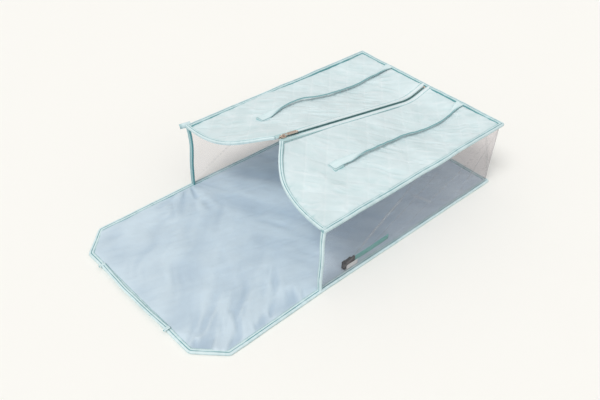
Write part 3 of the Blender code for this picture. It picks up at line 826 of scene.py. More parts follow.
def make_top_quilts(looks):
    for side, sign in SIDES:
        x, y = top_grid(sign, 250, 104, 0.0030, HEM_EDGE, HALF_WIDTH - 0.0052)
        relief, tint = top_relief(x, y, side)
        base = top_height(x, y)
        high = base + relief - rounded_lip(x)
        low = base - QUILT_THICKNESS + 0.0006 * noise(x / 0.03, y / 0.03, 360)
        low = np.minimum(low + 0.9 * rounded_lip(x), high - 0.0004)
        points, faces = shell(xyz(x, y, high), xyz(x, y, low))
        mesh = Mesh().add(points, faces, 0, [tint, np.zeros(tint.shape)])
        row = np.linspace(scoop_inset(HEM_STITCH, 0.008), HALF_DEPTH - 0.012, 400)
        column = np.full(row.shape, sign * HEM_STITCH)
        height = top_height(column, row) + top_relief(column, row, side)[0] + 0.0002
        add_stitches(mesh, xyz(column, row, height), UPWARD)
        piece = mesh.piece("top_quilt_" + side, [looks["quilt"], looks["teal_thread"]])
        settle(piece, "cube", "quilt_cloth", "top_fabric_" + side, "top_wadding_" + side)


def make_top_linings(looks):
    for side, sign in SIDES:
        x, y = top_grid(sign, 130, 56, 0.0060, 0.0085, HALF_WIDTH - 0.0066)
        loose = 0.0009 * streaks(x, y, 48, 0.020, 0.080, 370) - 0.0009
        seam = np.minimum(HALF_WIDTH - np.abs(x), HALF_DEPTH - y) - 0.007
        z = top_height(x, y) - 0.0040 + loose * (1 - near(seam, 0.012))
        mesh = Mesh().add(*shell(xyz(x, y, z), xyz(x, y, z - LINING_THICKNESS)))
        piece = mesh.piece("top_lining_cloth_" + side, [looks["lining"]])
        settle(piece, "cube", "satin_lining", "top_lining_" + side)


QUILT_THICKNESS = 0.0032


# ---------------------------------------------------------------- floor panels
FLOOR_HALF = HALF_WIDTH - 0.0062


def flap_folds(x, y):
    """Folds of the lining: deep at the flap's right edge, some at the left, few between."""
    warp = 0.011 * noise(x / 0.050, y / 0.050, 410)
    wx, wy = x + warp, y + 0.8 * warp
    right = near(HALF_WIDTH - 0.020 - x, 0.070) * ease((-0.262 - y) / 0.030)
    right = right * (0.62 + 0.38 * noise(x / 0.045, y / 0.045, 411))
    fold = 1.5 * right * streaks(wx, wy, -40, 0.0120, 0.070, 400)
    fold = fold + 1.0 * right * crinkles(wx, wy, -50, 0.0180, 0.060, 402)
    left = near(x + HALF_WIDTH, 0.085) * ease((-0.225 - y) / 0.03) * ease((y + 0.50) / 0.06)
    fold = fold + 0.50 * left * streaks(wx, wy, 84, 0.0180, 0.060, 404)
    hinge = near(x + HALF_WIDTH, 0.075) * near(np.abs(y + 0.285), 0.045)
    fold = fold + 0.8 * hinge * fan(x, y, (-0.215, -0.250), 0.14, 0.05, 403)
    middle = ease((y + 0.50) / 0.05) * ease((-0.22 - y) / 0.04) * ease((0.13 - x) / 0.10)
    fold = fold + 0.30 * middle * streaks(wx, wy, -46, 0.0190, 0.120, 408)
    inside = ease((y + 0.27) / 0.05)
    fold = fold + 0.35 * inside * streaks(x, y, 30, 0.022, 0.090, 405)
    fold = fold + 0.20 * noise(x / 0.05, y / 0.05, 406)
    return fold + 0.10 * streaks(x, y, 75, 0.006, 0.040, 407)


def lining_height(x, y):
    """Upper surface of the lining on the bottom, flap and tail, and the painted shade in its fold
    valleys.
    """
    rise = 1.1 * np.tanh(1.9 * flap_folds(x, y))
    rim = near(tail_half_width(y) - np.abs(x), 0.0055) + near(y - TAIL_END_Y - 0.006, 0.0055)
    rim = np.clip(rim + near(HALF_DEPTH - 0.007 - y, 0.0055), 0, 1)
    height = (0.0048 + 0.0027 * rise) * (1 - rim) + 0.0038 * rim
    return height, np.clip(0.10 - 0.30 * rise, 0, 1) * (1 - rim)


def tail_half_width(y):
    """Half width of the floor panels under their bindings, cut in at the tail's corners."""
    share = np.clip((FOLD_Y - y) / (FOLD_Y - TAIL_END_Y), 0, 1)
    return FLOOR_HALF - share * (HALF_WIDTH - TAIL_CORNER_X)


def floor_grid(front, back, rows, columns):
    y = np.broadcast_to(np.linspace(front, back, rows)[:, None], (rows, columns))
    return np.linspace(-1, 1, columns)[None] * tail_half_width(y), y


def floor_lining(name, grid, looks):
    x, y = grid
    high, tint = lining_height(x, y)
    points, faces = shell(askew(xyz(x, y, high)), askew(xyz(x, y, high - LINING_THICKNESS)))
    piece = Mesh().add(points, faces, 0, [tint, tint]).piece(name, [looks["lining"]])
    return piece


def floor_quilt(name, grid, looks):
    """Padding and outer cloth below the lining, quilted on the face towards the floor."""
    x, y = grid
    high = lining_height(x, y)[0] - 0.0008
    puff, pucker = quilt_pattern(x, y)
    low = 0.0002 + 0.0013 * (1 - puff) + 0.00012 * (pucker + 1.5)
    low = np.minimum(low, high - 0.0003)
    points, faces = shell(askew(xyz(x, y, high)), askew(xyz(x, y, low)))
    # Painted shade in the quilting grooves on the face towards the floor.
    tints = [np.zeros(puff.shape), 0.5 * np.exp(-puff / 0.16)]
    piece = Mesh().add(points, faces, 0, tints).piece(name, [looks["quilt"]])
    return piece


def make_long_panel(looks):
    """The bottom and the flap, one cloth laid flat through the front seam."""
    back = HALF_DEPTH - 0.0062
    grid = floor_grid(SPLIT_Y, back, 300, 160)
    quilt = floor_quilt("bottom_and_flap_quilt", grid, looks)
    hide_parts("bottom_fabric", "bottom_wadding", "flap_fabric", "flap_wadding")
    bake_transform(quilt)
    lining = floor_lining("bottom_and_flap_lining", grid, looks)
    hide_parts("bottom_lining", "flap_lining")
    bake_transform(lining)


def make_tail_panel(looks):
    x, y = grid = floor_grid(TAIL_END_Y + 0.0062, SPLIT_Y, 38, 160)
    quilt = floor_quilt("tail_quilt", grid, looks)
    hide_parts("tail_fabric", "tail_wadding")
    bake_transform(quilt)
    lining = floor_lining("tail_lining_cloth", grid, looks)
    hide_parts("tail_lining")
    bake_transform(lining)


# ---------------------------------------------------------------- clear film
FILM_OUT = 0.0032
FILM_THICKNESS = 0.0005
FILM_STEP = 0.0035
# Creases across the film: (distance from the right front edge, lean, half length, depth).
FILM_CREASES = [
    (0.205, 1.9, 0.060, 0.7),
    (0.262, -1.2, 0.045, 0.6),
    (0.338, 2.4, 0.055, 0.8),
    (0.431, 0.9, 0.060, 0.7),
    (0.470, -0.7, 0.050, 0.6),
    (0.640, 1.5, 0.050, 0.6),
    (0.815, -1.8, 0.050, 0.6),
    (1.060, 1.3, 0.050, 0.7),
    (1.240, -2.1, 0.050, 0.6),
]


def film_creases(length, height, end):
    """How sharply the film is creased; the two long creases lie on the right side."""
    long_one = (length - (end - 0.150)) * 0.55 + (height - 0.085) * 0.83
    line = np.exp(-((long_one / 0.0030) ** 2)) * near(np.abs(length - end + 0.150), 0.070)
    second = (length - (end - 0.470)) * 0.9 - (height - 0.07) * 0.35
    line = line + 0.8 * np.exp(-((second / 0.0035) ** 2))
    for place, lean, reach, share in FILM_CREASES:
        slant = (length - (end - place)) + lean * (height - 0.075)
        streak = np.exp(-((slant / 0.0026) ** 2)) * near(np.abs(height - 0.075), reach)
        line = line + share * streak
    return line


def make_film(looks):
    """One clear strip round the left side, the back and the right side, slightly slack."""
    edge, rear = HALF_WIDTH - FILM_OUT, HALF_DEPTH - FILM_OUT
    front = -HALF_DEPTH + 0.0035
    route = [(-edge, front, 0), (-edge, rear, 0), (edge, rear, 0), (edge, front, 0)]
    path = rounded(route, 0.015, FILM_STEP)
    inward = inward_of(path, 1)[:, None]
    t = np.arange(len(path)) * FILM_STEP
    z = np.linspace(0.0030, RIM - 0.0035, 40)
    length, height = np.meshgrid(t, z, indexing="ij")
    held = np.sin(math.pi * (height / RIM)) ** 0.7
    line = film_creases(length, height, t[-1])
    slack = 0.0021 * noise(length / 0.090, height / 0.11, 500)
    slack = slack + 0.0008 * streaks(length, height, 62, 0.018, 0.080, 501)
    slack = slack - 0.0011 * line
    left, right = near(length, 0.055), near(t[-1] - length, 0.055)
    lean = left * post_bow("left", height) + right * post_bow("right", height)
    offset = (slack * held * (1 - left) * (1 - right) + lean)[..., None]
    base = xyz(path[:, :1], path[:, 1:2], height)
    points, faces = shell(base + inward * offset, base + inward * (offset + FILM_THICKNESS))
    # Painted reflection along the film's folds, where the film turns paler.
    tint = line * held * 0.8
    piece = Mesh().add(points, faces, 0, [tint, tint]).piece("clear_film", [looks["film"]])
    settle(piece, "cube", "clear_vinyl", "clear_window")


# ---------------------------------------------------------------- zip
COIL_PITCH = 0.0015


def zip_points(x, y, lift):
    return xyz(x, y, zip_height(y) + lift)


def make_zip_tape(side, sign, looks):
    y = np.linspace(ZIP_FRONT_Y - 0.004, HALF_DEPTH - 0.004, 230)
    x, y = np.meshgrid(sign * np.linspace(0.0024, 0.0125, 9), y)
    upper = zip_points(x, y, -0.0017 + 0.00008 * noise(x / 0.002, y / 0.004, 600))
    mesh = Mesh().add(*shell(upper, upper - (0, 0, 0.0005)))
    piece = mesh.piece("zip_woven_tape_" + side, [looks["zip_tape"]])
    settle(piece, "cube", "zip_tape", "zip_tape_" + side)


def make_zip_coil(side, sign, looks):
    start, end = ZIP_FRONT_Y + 0.0024, 0.2355
    turns = (end - start) / COIL_PITCH
    angle = np.linspace(0, 2 * math.pi * turns, int(turns * 12))
    y = start + COIL_PITCH * angle / (2 * math.pi)
    x = sign * (0.00132 + 0.00086 * np.cos(angle))
    path = xyz(x, y, zip_height(y) - 0.0014 + 0.00080 * np.sin(angle))
    mesh = Mesh().add(*tube(path, BACKWARD, circle(0.00034, 5, 1.2)))
    piece = mesh.piece("zip_coil_teeth_" + side, [looks["coil"]], sharp=80)
    settle(piece, "cube", "zip_nylon", "zip_coil_" + side)


def zip_stop(x, start, end, lift, swell, ring):
    """A clamp of metal on the zip: a ring that swells along its length."""
    path = zip_points(x, np.linspace(start, end, len(swell)), lift)
    return Mesh().add(*tube(path, UPWARD, ring[None] * np.array(swell)[:, None, None]))


def make_zip(looks):
    metal_look = [looks["metal"]]
    swell = [0.7, 0.95, 1, 1, 0.95, 0.7]
    for side, sign in SIDES:
        make_zip_tape(side, sign, looks)
        make_zip_coil(side, sign, looks)
        ring = circle(0.0014, 14, 0.75)
        mesh = zip_stop(sign * 0.0017, ZIP_FRONT_Y, ZIP_FRONT_Y + 0.0020, -0.0015, swell, ring)
        piece = mesh.piece("zip_front_stop_" + side, metal_look)
        settle(piece, "cube", "plated_metal", "zip_top_stop_" + side)

    swell = [0.75, 0.95, 1, 0.9, 1, 0.95, 0.75]
    mesh = zip_stop(0.0, 0.2358, 0.2402, -0.0012, swell, circle(0.0017, 16, 1.6))
    piece = mesh.piece("zip_back_stop", metal_look)
    settle(piece, "cube", "plated_metal", "zip_bottom_stop")


SLIDER_Y = -0.1695
ZIP_ANGLE = math.atan(ZIP_SLOPE)


def on_zip(points):
    """Points modelled level about the slider's place, leaned to the zip's slope."""
    x, y, z = np.moveaxis(np.asarray(points, float), -1, 0)
    c, s = math.cos(ZIP_ANGLE), math.sin(ZIP_ANGLE)
    return xyz(x, SLIDER_Y + y * c - z * s, float(zip_height(SLIDER_Y)) + y * s + z * c)


def inset_ring(outline, inset, height):
    """An outline drawn in towards its middle by a distance and set at a height."""
    middle = outline.mean(0)
    away = outline - middle
    reach = np.linalg.norm(away, axis=1, keepdims=True)
    ring = middle + away * (1 - inset / reach)
    return np.concatenate([ring, np.full((len(ring), 1), height)], 1)


def slab(outline, levels):
    """A plan outline stacked at (height, inset) levels, with a flat cap at both ends."""
    outline = np.asarray(outline, float)
    n, m = len(levels), len(outline)
    rings = [inset_ring(outline, inset, height) for height, inset in levels]
    caps = [list(range(m))[::-1], list(range((n - 1) * m, n * m))]
    return np.concatenate(rings), side_faces(n, m) + caps


def make_slider_body(looks):
    """Two plates joined by a web at the front, with rolled edges along both sides."""
    mesh = Mesh()
    top = [(0.0002, 0.0006), (0.0004, 0.0001), (0.0010, 0.0), (0.0013, 0.0004), (0.0014, 0.0012)]
    under = [(-0.0046, 0.0012), (-0.0045, 0.0004), (-0.0041, 0.0), (-0.0036, 0.0001)]
    under += [(-0.0034, 0.0006)]
    web = [(-0.0006, -0.0048), (0.0006, -0.0048), (0.0004, -0.0020), (-0.0004, -0.0020)]
    plate = slider_outline()
    for outline, levels in ((plate, top), (plate, under), (web, [(-0.0035, 0), (0.0003, 0)])):
        points, faces = slab(outline, levels)
        mesh.add(on_zip(points), faces)
    for sign in (-1, 1):
        y = np.linspace(-0.0046, 0.0058, 12)
        x = sign * np.interp(y, [-0.005, -0.001, 0.003, 0.006], [0.0042, 0.0042, 0.0035, 0.0034])
        for height in (0.0000, -0.0030):
            mesh.add(*tube(on_zip(xyz(x, y, height)), UPWARD, circle(0.0005, 8)))
    piece = mesh.piece("zip_slider_body", [looks["metal"]], sharp=35)
    settle(piece, "slider", "plated_metal", "zip_slider")


def make_slider_bail(looks):
    arch = [(-0.0044, 0.0010), (-0.0044, 0.0040), (-0.0030, 0.0051)]
    arch += [(-y, z) for y, z in reversed(arch)]
    path = rounded([(0, y, z) for y, z in arch], 0.0012, 0.0005)
    points, faces = tube(path, ACROSS, circle(0.0006, 10) * (1.0, 1.5))
    mesh = Mesh().add(on_zip(points), faces)
    piece = mesh.piece("zip_slider_bail", [looks["metal"]], sharp=60)
    settle(piece, "slider", "plated_metal", "slider_bail")


def slider_outline():
    """Plan of a slider plate: broad shoulders at the front, narrower at the back."""
    half = [(0.0000, -0.0050), (0.0010, -0.0060), (0.0030, -0.0064), (0.0043, -0.0050)]
    half += [(0.0045, -0.0030), (0.0044, -0.0005), (0.0037, 0.0025), (0.0036, 0.0050)]
    half += [(0.0030, 0.0062), (0.0015, 0.0065), (0.0000, 0.0065)]
    return half + [(-x, y) for x, y in reversed(half[1:-1])]


TAB_PIVOT_FORWARD, TAB_PIVOT_UP = 0.0015, 0.0030
TAB_LENGTH, TAB_WIDTH, TAB_THICKNESS = 0.035, 0.0070, 0.0012


def tab_outline(width, low, high, count=10):
    """A plan with a half round tip and a square heel."""
    a = np.linspace(0, math.pi, count)
    tip = xyz(width * np.cos(a), high + width * np.sin(a))
    foot = low - 0.0003
    heel = [(-width, low), (-width * 0.55, foot), (width * 0.55, foot), (width, low)]
    return np.concatenate([tip, heel])


def tab_hole(radius, centre):
    """A round hole near the tip, with as many points as a tab outline."""
    a = np.linspace(0, math.pi, 10)
    upper = xyz(radius * np.cos(a), centre + radius * np.sin(a))
    side, foot = centre - 0.0002, centre - 0.0011
    lower = [(-radius, side), (-radius / 2, foot), (radius / 2, foot), (radius, side)]
    return np.concatenate([upper, lower])


def ring_band(outer, inner, levels):
    """A flat band between two outlines with as many points each."""
    m, n = len(outer), len(levels)
    stack = [
        inset_ring(line, sign * inset, height)
        for height, inset in levels
        for line, sign in ((outer, 1), (inner, -1))
    ]
    faces = []
    top = (2 * n - 2) * m
    for j in range(m):
        k = (j + 1) % m
        for a in range(0, top, m):
            b = a + 2 * m
            faces.append([a + j, a + k, b + k, b + j])
        faces.append([j, k, m + k, m + j])
        faces.append([top + j, top + k, top + m + k, top + m + j])
    return np.concatenate(stack), faces


def make_pull_tab(looks):
    """A slim plated plate: ring at the pivot end, raised rim, small hole near the tip."""
    half, bar = TAB_WIDTH / 2, TAB_THICKNESS / 2
    end = TAB_LENGTH - half
    edge = [(-bar, 0.0002), (-bar * 0.6, 0.0), (bar * 0.6, 0.0), (bar, 0.0002)]
    rim = [(bar - 0.0001, 0.0), (bar + 0.00022, 0.0001), (bar + 0.00028, 0.00022)]
    bands = [
        (tab_outline(half * 0.98, 0.0, 0.0088), tab_outline(half * 0.62, 0.0011, 0.0066), edge),
        (tab_outline(half, 0.0095, end), tab_hole(0.0012, end), edge),
        (tab_outline(half * 0.96, 0.0105, end), tab_outline(half * 0.74, 0.0118, end), rim),
    ]
    mesh = Mesh()
    for outer, inner, levels in bands:
        points, faces = ring_band(outer, inner, levels)
        mesh.add(on_zip(points + (0.0, TAB_PIVOT_FORWARD, TAB_PIVOT_UP)), faces)
    piece = mesh.piece("pull_tab_plate", [looks["metal"]], sharp=35)
    settle(piece, "pull_tab", "plated_metal", "pull_tab")


# ---------------------------------------------------------------- carrying handles
HANDLE_WIDTH = 0.018
HANDLE_FRONT = {"left": -0.1375, "right": -0.1350}
HANDLE_TURN_Y = {"left": -0.122, "right": -0.104}
HANDLE_TWIST = math.radians(24)
HANDLE_LIFT = 0.0030
HANDLE_NARROWING = 0.60
HANDLE_LINES = {
    "left": [(-0.137, -0.106), (-0.020, -0.112), (0.045, -0.100), (0.130, -0.108), (0.250, -0.108)],
    "right": [(-0.137, 0.0955), (-0.043, 0.106), (0.050, 0.0995), (0.170, 0.105), (0.250, 0.094)],
}
PATCH_LENGTH = 0.020
STRAP_THICKNESS = 0.0016


def handle_fold(side, y):
    """0 where the strap is sewn down flat, 1 where it is folded narrow along its length."""
    return ease((y - HANDLE_TURN_Y[side]) / 0.050) * ease((HALF_DEPTH - 0.008 - y) / 0.040)


def handle_width(side, y):
    uneven = 1 + 0.10 * wander(y, 0.020, 740 + len(side))
    return HANDLE_WIDTH * (1 - HANDLE_NARROWING * handle_fold(side, y) * uneven)


def handle_tilt(side, y):
    """Twist of the strap: flat where it is sewn down, its right edge up between."""
    return (HANDLE_TWIST + 0.10 * wander(y, 0.024, 730 + len(side))) * handle_fold(side, y)


def handle_rise(y, side):
    """How far the strap's middle stands off the quilt: sewn down at both ends."""
    start = HANDLE_FRONT[side] + PATCH_LENGTH
    t = (y - start) / (HALF_DEPTH - 0.018 - start)
    inside = ease(t * 5) * ease((1 - t) * 5)
    wave = 1 + 0.30 * wander(y, 0.040, 700 if side == "left" else 711)
    edge = handle_width(side, y) / 2 * np.sin(handle_tilt(side, y)) * 0.94
    return np.maximum(HANDLE_LIFT * inside * wave, edge)


def strap_surface(side, sign, y):
    """Middle line and underside height of a handle over the real quilt relief."""
    shift = 0.0012 * wander(y, 0.021, 720 + sign) * ease((y - HANDLE_FRONT[side] - 0.05) / 0.03)
    shift = shift * ease((HALF_DEPTH - 0.02 - y) / 0.03)
    middle = eased_line(HANDLE_LINES[side], y) + shift
    across = np.linspace(-HANDLE_WIDTH / 2, HANDLE_WIDTH / 2, 9)
    x = middle[:, None] + across[None]
    yy = np.broadcast_to(y[:, None], x.shape)
    cloth_top = (top_height(x, yy) + top_relief(x, yy, side)[0]).max(1)
    kernel = np.ones(9) / 9
    padded = np.concatenate([np.full(4, cloth_top[0]), cloth_top, np.full(4, cloth_top[-1])])
    level = np.convolve(padded, kernel, "valid") + 0.0004
    return middle, level + 0.0009 + handle_rise(y, side)


# Section of a handle strap: place across and height, as shares, and depth of painted shade in its
# folds.
STRAP_PROFILE = [
    (-1.00, 0.55, 0.60),
    (-0.97, 0.95, 0.25),
    (-0.90, 1.12, 0.00),
    (-0.80, 1.08, 0.05),
    (-0.74, 0.92, 0.45),
    (-0.66, 0.98, 0.05),
    (-0.35, 1.00, 0.00),
    (0.00, 0.97, 0.05),
    (0.35, 1.00, 0.00),
    (0.66, 0.98, 0.05),
    (0.74, 0.92, 0.45),
    (0.80, 1.08, 0.00),
    (0.90, 1.15, 0.00),
    (0.96, 1.10, 0.40),
    (1.00, 0.75, 1.00),
]


def strap_mesh(side, y, path):
    """The strap: flat where it is sewn, turned and folded narrow between, with its raised right edge
    and underside painted in shade.
    """
    across, height, crease_shade = np.array(STRAP_PROFILE).T
    ribs = 1 + 0.04 * np.sin(y * 2 * math.pi / 0.0019)[:, None]
    fold, tilt = handle_fold(side, y), handle_tilt(side, y)
    wide = handle_width(side, y)
    thick = STRAP_THICKNESS * (1 + 0.6 * fold)
    s = across[None] * wide[:, None] / 2
    u_top = thick[:, None] * height[None] * ribs
    u_low = np.broadcast_to(0.00008 * np.abs(across), u_top.shape)
    section = xyz(np.concatenate([s, s[:, ::-1]], 1), np.concatenate([u_top, u_low[:, ::-1]], 1))
    side_v = xyz(np.cos(tilt), 0, np.sin(tilt))
    up = xyz(-np.sin(tilt), 0, np.cos(tilt))
    points, faces = sweep(path, side_v, up, section)
    # Painted shade on the folded strap's right edge, its underside and its folds.
    right_edge_shade = ease((across - 0.20) / 0.60) * 0.85
    top_shade = np.maximum(crease_shade[None] * 0.6, fold[:, None] * right_edge_shade[None])
    under_shade = np.broadcast_to(np.where(across[::-1] > 0.9, 0.55, 0.75), top_shade.shape)
    mesh = Mesh().add(points, faces, 0, np.concatenate([top_shade, under_shade], 1))
    for share in (-0.74, 0.74):
        line = path + side_v * (share * wide / 2)[:, None] + up * (thick * 0.95)[:, None]
        add_stitches(mesh, line, up)
    return mesh


def add_crossed_box(mesh, y, path, front):
    """The crossed stitches that hold the strap's front end down."""
    reach = HANDLE_WIDTH / 2 * 0.66
    near_y, far_y = front + 0.003, front + PATCH_LENGTH - 0.002
    box_lines = [[(-reach, near_y), (reach, near_y)], [(-reach, far_y), (reach, far_y)]]
    box_lines += [[(-reach, near_y), (reach, far_y)], [(reach, near_y), (-reach, far_y)]]
    for (x0, y0), (x1, y1) in box_lines:
        ys = np.linspace(y0, y1, 12)
        zs = np.interp(ys, y, path[:, 2]) + STRAP_THICKNESS * 1.02
        add_stitches(mesh, xyz(path[0, 0] + np.linspace(x0, x1, 12), ys, zs), UPWARD)


def make_handle_patch(side, front, path, looks):
    """The sewn patch under the strap's front end."""
    half, centre = HANDLE_WIDTH / 2 + 0.0014, path[0, 0]
    y = np.linspace(front - 0.0012, front + PATCH_LENGTH + 0.001, 26)
    grid_x, grid_y = np.meshgrid(centre + np.linspace(-1, 1, 24) * half, y)
    low = top_height(grid_x, grid_y) + top_relief(grid_x, grid_y, side)[0] - 0.0006
    level = np.interp(y, path[:, 1], path[:, 2])[:, None] - 0.0001
    rim = np.maximum(
        near(half - np.abs(grid_x - centre), 0.0010),
        near(np.minimum(grid_y - y[0], y[-1] - grid_y), 0.0010),
    )
    high = np.maximum(level - 0.0008 * rim, low + 0.0007)
    points, faces = shell(xyz(grid_x, grid_y, high), xyz(grid_x, grid_y, low))
    # Painted shade along the patch's sunken rim, stronger on its lower face.
    mesh = Mesh().add(points, faces, 0, [0.6 * rim, rim])
    piece = mesh.piece("handle_base_" + side, [looks["quilt"]])
    settle(piece, "cube", "quilt_cloth", "handle_patch_" + side)


def make_handles(looks):
    for side, sign in SIDES:
        front = HANDLE_FRONT[side]
        y = np.linspace(front, HALF_DEPTH - 0.005, 200)
        middle, under = strap_surface(side, sign, y)
        path = xyz(middle, y, under)
        mesh = strap_mesh(side, y, path)
        add_crossed_box(mesh, y, path, front)
        piece = mesh.piece("handle_strap_" + side, [looks["tape"], looks["thread"]])
        settle(piece, "cube", "binding_tape", "handle_" + side)
        make_handle_patch(side, front, path, looks)


# ---------------------------------------------------------------- pull on the tail's edge
STRAP_LEFT_X, STRAP_RIGHT_X = -0.105, 0.088


def make_pull_strap(tapes):
    reach = (STRAP_RIGHT_X - STRAP_LEFT_X) / 2
    centre = (STRAP_RIGHT_X + STRAP_LEFT_X) / 2
    x = np.linspace(STRAP_LEFT_X - 0.002, STRAP_RIGHT_X + 0.002, 96)
    bow = 0.0030 * (1 - ((x - centre) / reach) ** 2) + 0.0007 * wander(x, 0.03, 800)
    z = 0.0062 + 0.0003 * wander(x, 0.02, 801)
    path = askew(xyz(x, TAIL_END_Y - 0.0014 - bow, z))
    mesh = Mesh()
    binding(mesh, path, BACKWARD, UPWARD, 810, width=0.0088, top=0.0013, bottom=0.0008)
    piece = mesh.piece("tail_pull_strap", tapes)
    settle(piece, "tail", "binding_tape", "pull_strap")


# Section of a small folded tab: place across and height, as shares, and depth of painted shade.
TAB_PROFILE = [
    (-1.0, -0.4, 0.5),
    (-0.9, 0.7, 0.1),
    (-0.5, 1.0, 0.0),
    (0.0, 0.8, 0.4),
    (0.5, 1.0, 0.0),
    (0.9, 0.7, 0.1),
    (1.0, -0.4, 0.5),
    (0.5, -1.0, 0.9),
    (-0.5, -1.0, 0.9),
]


def make_strap_tabs(tapes):
    profile = np.array(TAB_PROFILE)
    for side, place in (("left", STRAP_LEFT_X - 0.0030), ("right", STRAP_RIGHT_X + 0.0030)):
        y = TAIL_END_Y + np.linspace(-0.0052, 0.0082, 22)
        fold = ease((y - y[0]) / 0.0016) * ease((y[-1] - y) / 0.0016)
        path = askew(xyz(place, y, 0.0060 + 0.0012 * fold))
        swell = (0.45 + 0.55 * fold)[:, None, None]
        points, faces = sweep(path, ACROSS, UPWARD, profile[:, :2] * (0.0028, 0.0011) * swell)
        tint = np.tile(profile[:, 2], (len(y), 1))
        # Painted shade at the tab's folded ends.
        tint[[0, 1, -2, -1]] = 0.9
        piece = Mesh().add(points, faces, 0, tint).piece("tail_strap_tab_" + side, tapes[:1])
        settle(piece, "tail", "binding_tape", "pull_strap_tab_" + side)


# ---------------------------------------------------------------- inner hold-down strap
BUCKLE_X = 0.18675
BUCKLE_LOW, BUCKLE_HIGH = 0.0060, 0.0240
BUCKLE_MID = (BUCKLE_LOW + BUCKLE_HIGH) / 2
SOCKET_FRONT, SOCKET_BACK = -0.183, -0.161
PLUG_FRONT, PLUG_BACK = SOCKET_BACK + 0.0003, SOCKET_BACK + 0.0083


def side_slab(corners, half_thickness, edge, radius, step=0.0006):
    """Rounded corners in Y and Z, given thickness across X with softened edges."""
    closed = [(a, b, 0.0) for a, b in corners] + [(*corners[0], 0.0)]
    middle = [(closed[0][k] + closed[-2][k]) / 2 for k in range(3)]
    outline = rounded([middle] + closed[:-1] + [middle], radius, step)[:-1, :2]
    levels = [(-half_thickness, edge), (-half_thickness + edge, 0.0)]
    levels += [(half_thickness - edge, 0.0), (half_thickness, edge)]
    points, faces = slab(outline, levels)
    return xyz(BUCKLE_X + points[:, 2], points[:, 0], points[:, 1]), faces


def make_socket(looks):
    mesh = Mesh()
    high, low = BUCKLE_HIGH, BUCKLE_LOW
    waist = high - 0.0012
    body = [(SOCKET_FRONT, low + 0.001), (SOCKET_FRONT, high - 0.001)]
    body += [(SOCKET_FRONT + 0.006, high), (SOCKET_FRONT + 0.0088, waist)]
    body += [(SOCKET_BACK - 0.0052, waist), (SOCKET_BACK - 0.003, high), (SOCKET_BACK, high)]
    body += [(y, low + high - z) for y, z in reversed(body[2:])]
    mesh.add(*side_slab(body, 0.0037, 0.0008, 0.0012))
    start, end = SOCKET_FRONT + 0.0030, SOCKET_FRONT + 0.0085
    for z in (BUCKLE_MID - 0.0035, BUCKLE_MID, BUCKLE_MID + 0.0035):
        rib = [(start, z - 0.0006), (start, z + 0.0006), (end, z + 0.0006), (end, z - 0.0006)]
        mesh.add(*side_slab(rib, 0.0041, 0.0003, 0.0004, 0.0003))
    piece = mesh.piece("buckle_socket_shell", [looks["black"]], sharp=35)
    settle(piece, "cube", "black_plastic", "buckle_socket")


def make_plug(looks):
    """A cross bar and two prongs that reach into the socket."""
    mesh = Mesh()
    low, high = BUCKLE_LOW, BUCKLE_HIGH
    front, back = PLUG_FRONT, PLUG_BACK
    bar = [(front, low + 0.0008), (front, high - 0.0008)]
    bar += [(back, high - 0.0004), (back, low + 0.0004)]
    mesh.add(*side_slab(bar, 0.0019, 0.0005, 0.0010))
    tip = SOCKET_FRONT + 0.0055
    for sign in (-1, 1):
        z0, z1 = BUCKLE_MID + sign * 0.0046, BUCKLE_MID + sign * 0.0066
        prong = [(front + 0.002, z0), (front + 0.002, z1), (SOCKET_FRONT + 0.011, z1)]
        prong += [(tip, z1 - sign * 0.001), (tip, z0)]
        mesh.add(*side_slab(prong, 0.0017, 0.0003, 0.0005, 0.0005))
    piece = mesh.piece("buckle_plug_frame", [looks["black"]], sharp=35)
    settle(piece, "buckle_plug", "black_plastic", "buckle_plug")


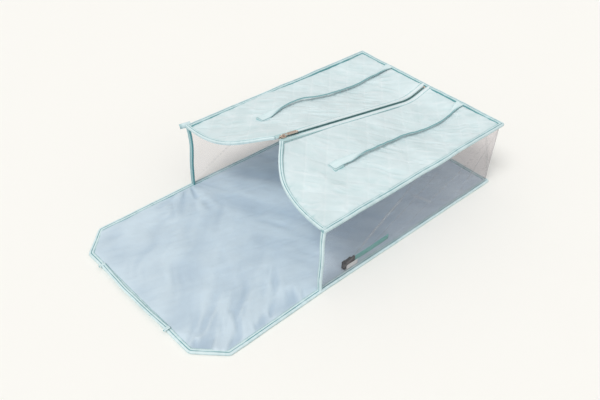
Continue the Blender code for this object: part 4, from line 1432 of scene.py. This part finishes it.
def upright_tape(path, across, thick, half):
    """A ribbed tape standing on edge along a path."""
    front, back = xyz(thick, across * half), xyz(-thick, across * half)
    return sweep(path, ACROSS, UPWARD, np.concatenate([front, back[::-1]]))


def make_webbing(looks):
    y = np.linspace(PLUG_BACK + 0.0003, -0.0600, 70)
    x = BUCKLE_X + 0.0010 * wander(y, 0.04, 821) * ease((y - PLUG_BACK) / 0.02) - 0.0002
    path = xyz(x, y, BUCKLE_MID + 0.0006 * wander(y, 0.03, 820))
    across = np.linspace(-1, 1, 13)
    wave = np.cos(across * 6 * math.pi)
    points, faces = upright_tape(path, across, 0.00075 + 0.00012 * wave, 0.0052)
    # Painted shade in the grooves between the webbing's ribs.
    rows = (0.5 - 0.5 * wave) * 0.5
    tint = np.tile(np.concatenate([rows, rows[::-1]]), (len(y), 1))
    piece = Mesh().add(points, faces, 0, tint).piece("hold_down_webbing", [looks["webbing"]])
    settle(piece, "buckle_plug", "teal_webbing", "hold_down_strap")


def make_anchor_tape(looks):
    y = np.linspace(SOCKET_FRONT + 0.0060, SOCKET_FRONT + 0.0340, 40)
    lean = 0.0007 * wander(y, 0.012, 830)
    path = xyz(BUCKLE_X + 0.00465 + lean, y, 0.0108 + 0.5 * lean)
    across = np.linspace(-1, 1, 9)
    thick = 0.00045 + 0.00010 * np.cos(across * 4 * math.pi)
    mesh = Mesh().add(*upright_tape(path, across, thick, 0.0050))
    piece = mesh.piece("anchor_tape", [looks["white_tape"]])
    settle(piece, "cube", "white_tape", "strap_anchor_tape")


def main():
    make_camera()
    make_studio()
    looks = make_looks()
    tapes = [looks["tape"], looks["thread"]]
    make_floor_bindings(tapes)
    make_rim_binding(tapes)
    make_posts(tapes)
    make_scoop_bindings(tapes)
    make_loose_end(tapes)
    make_top_quilts(looks)
    make_top_linings(looks)
    make_long_panel(looks)
    make_tail_panel(looks)
    make_film(looks)
    make_zip(looks)
    make_slider_body(looks)
    make_slider_bail(looks)
    make_pull_tab(looks)
    make_handles(looks)
    make_pull_strap(tapes)
    make_strap_tabs(tapes)
    make_socket(looks)
    make_plug(looks)
    make_webbing(looks)
    make_anchor_tape(looks)


main()
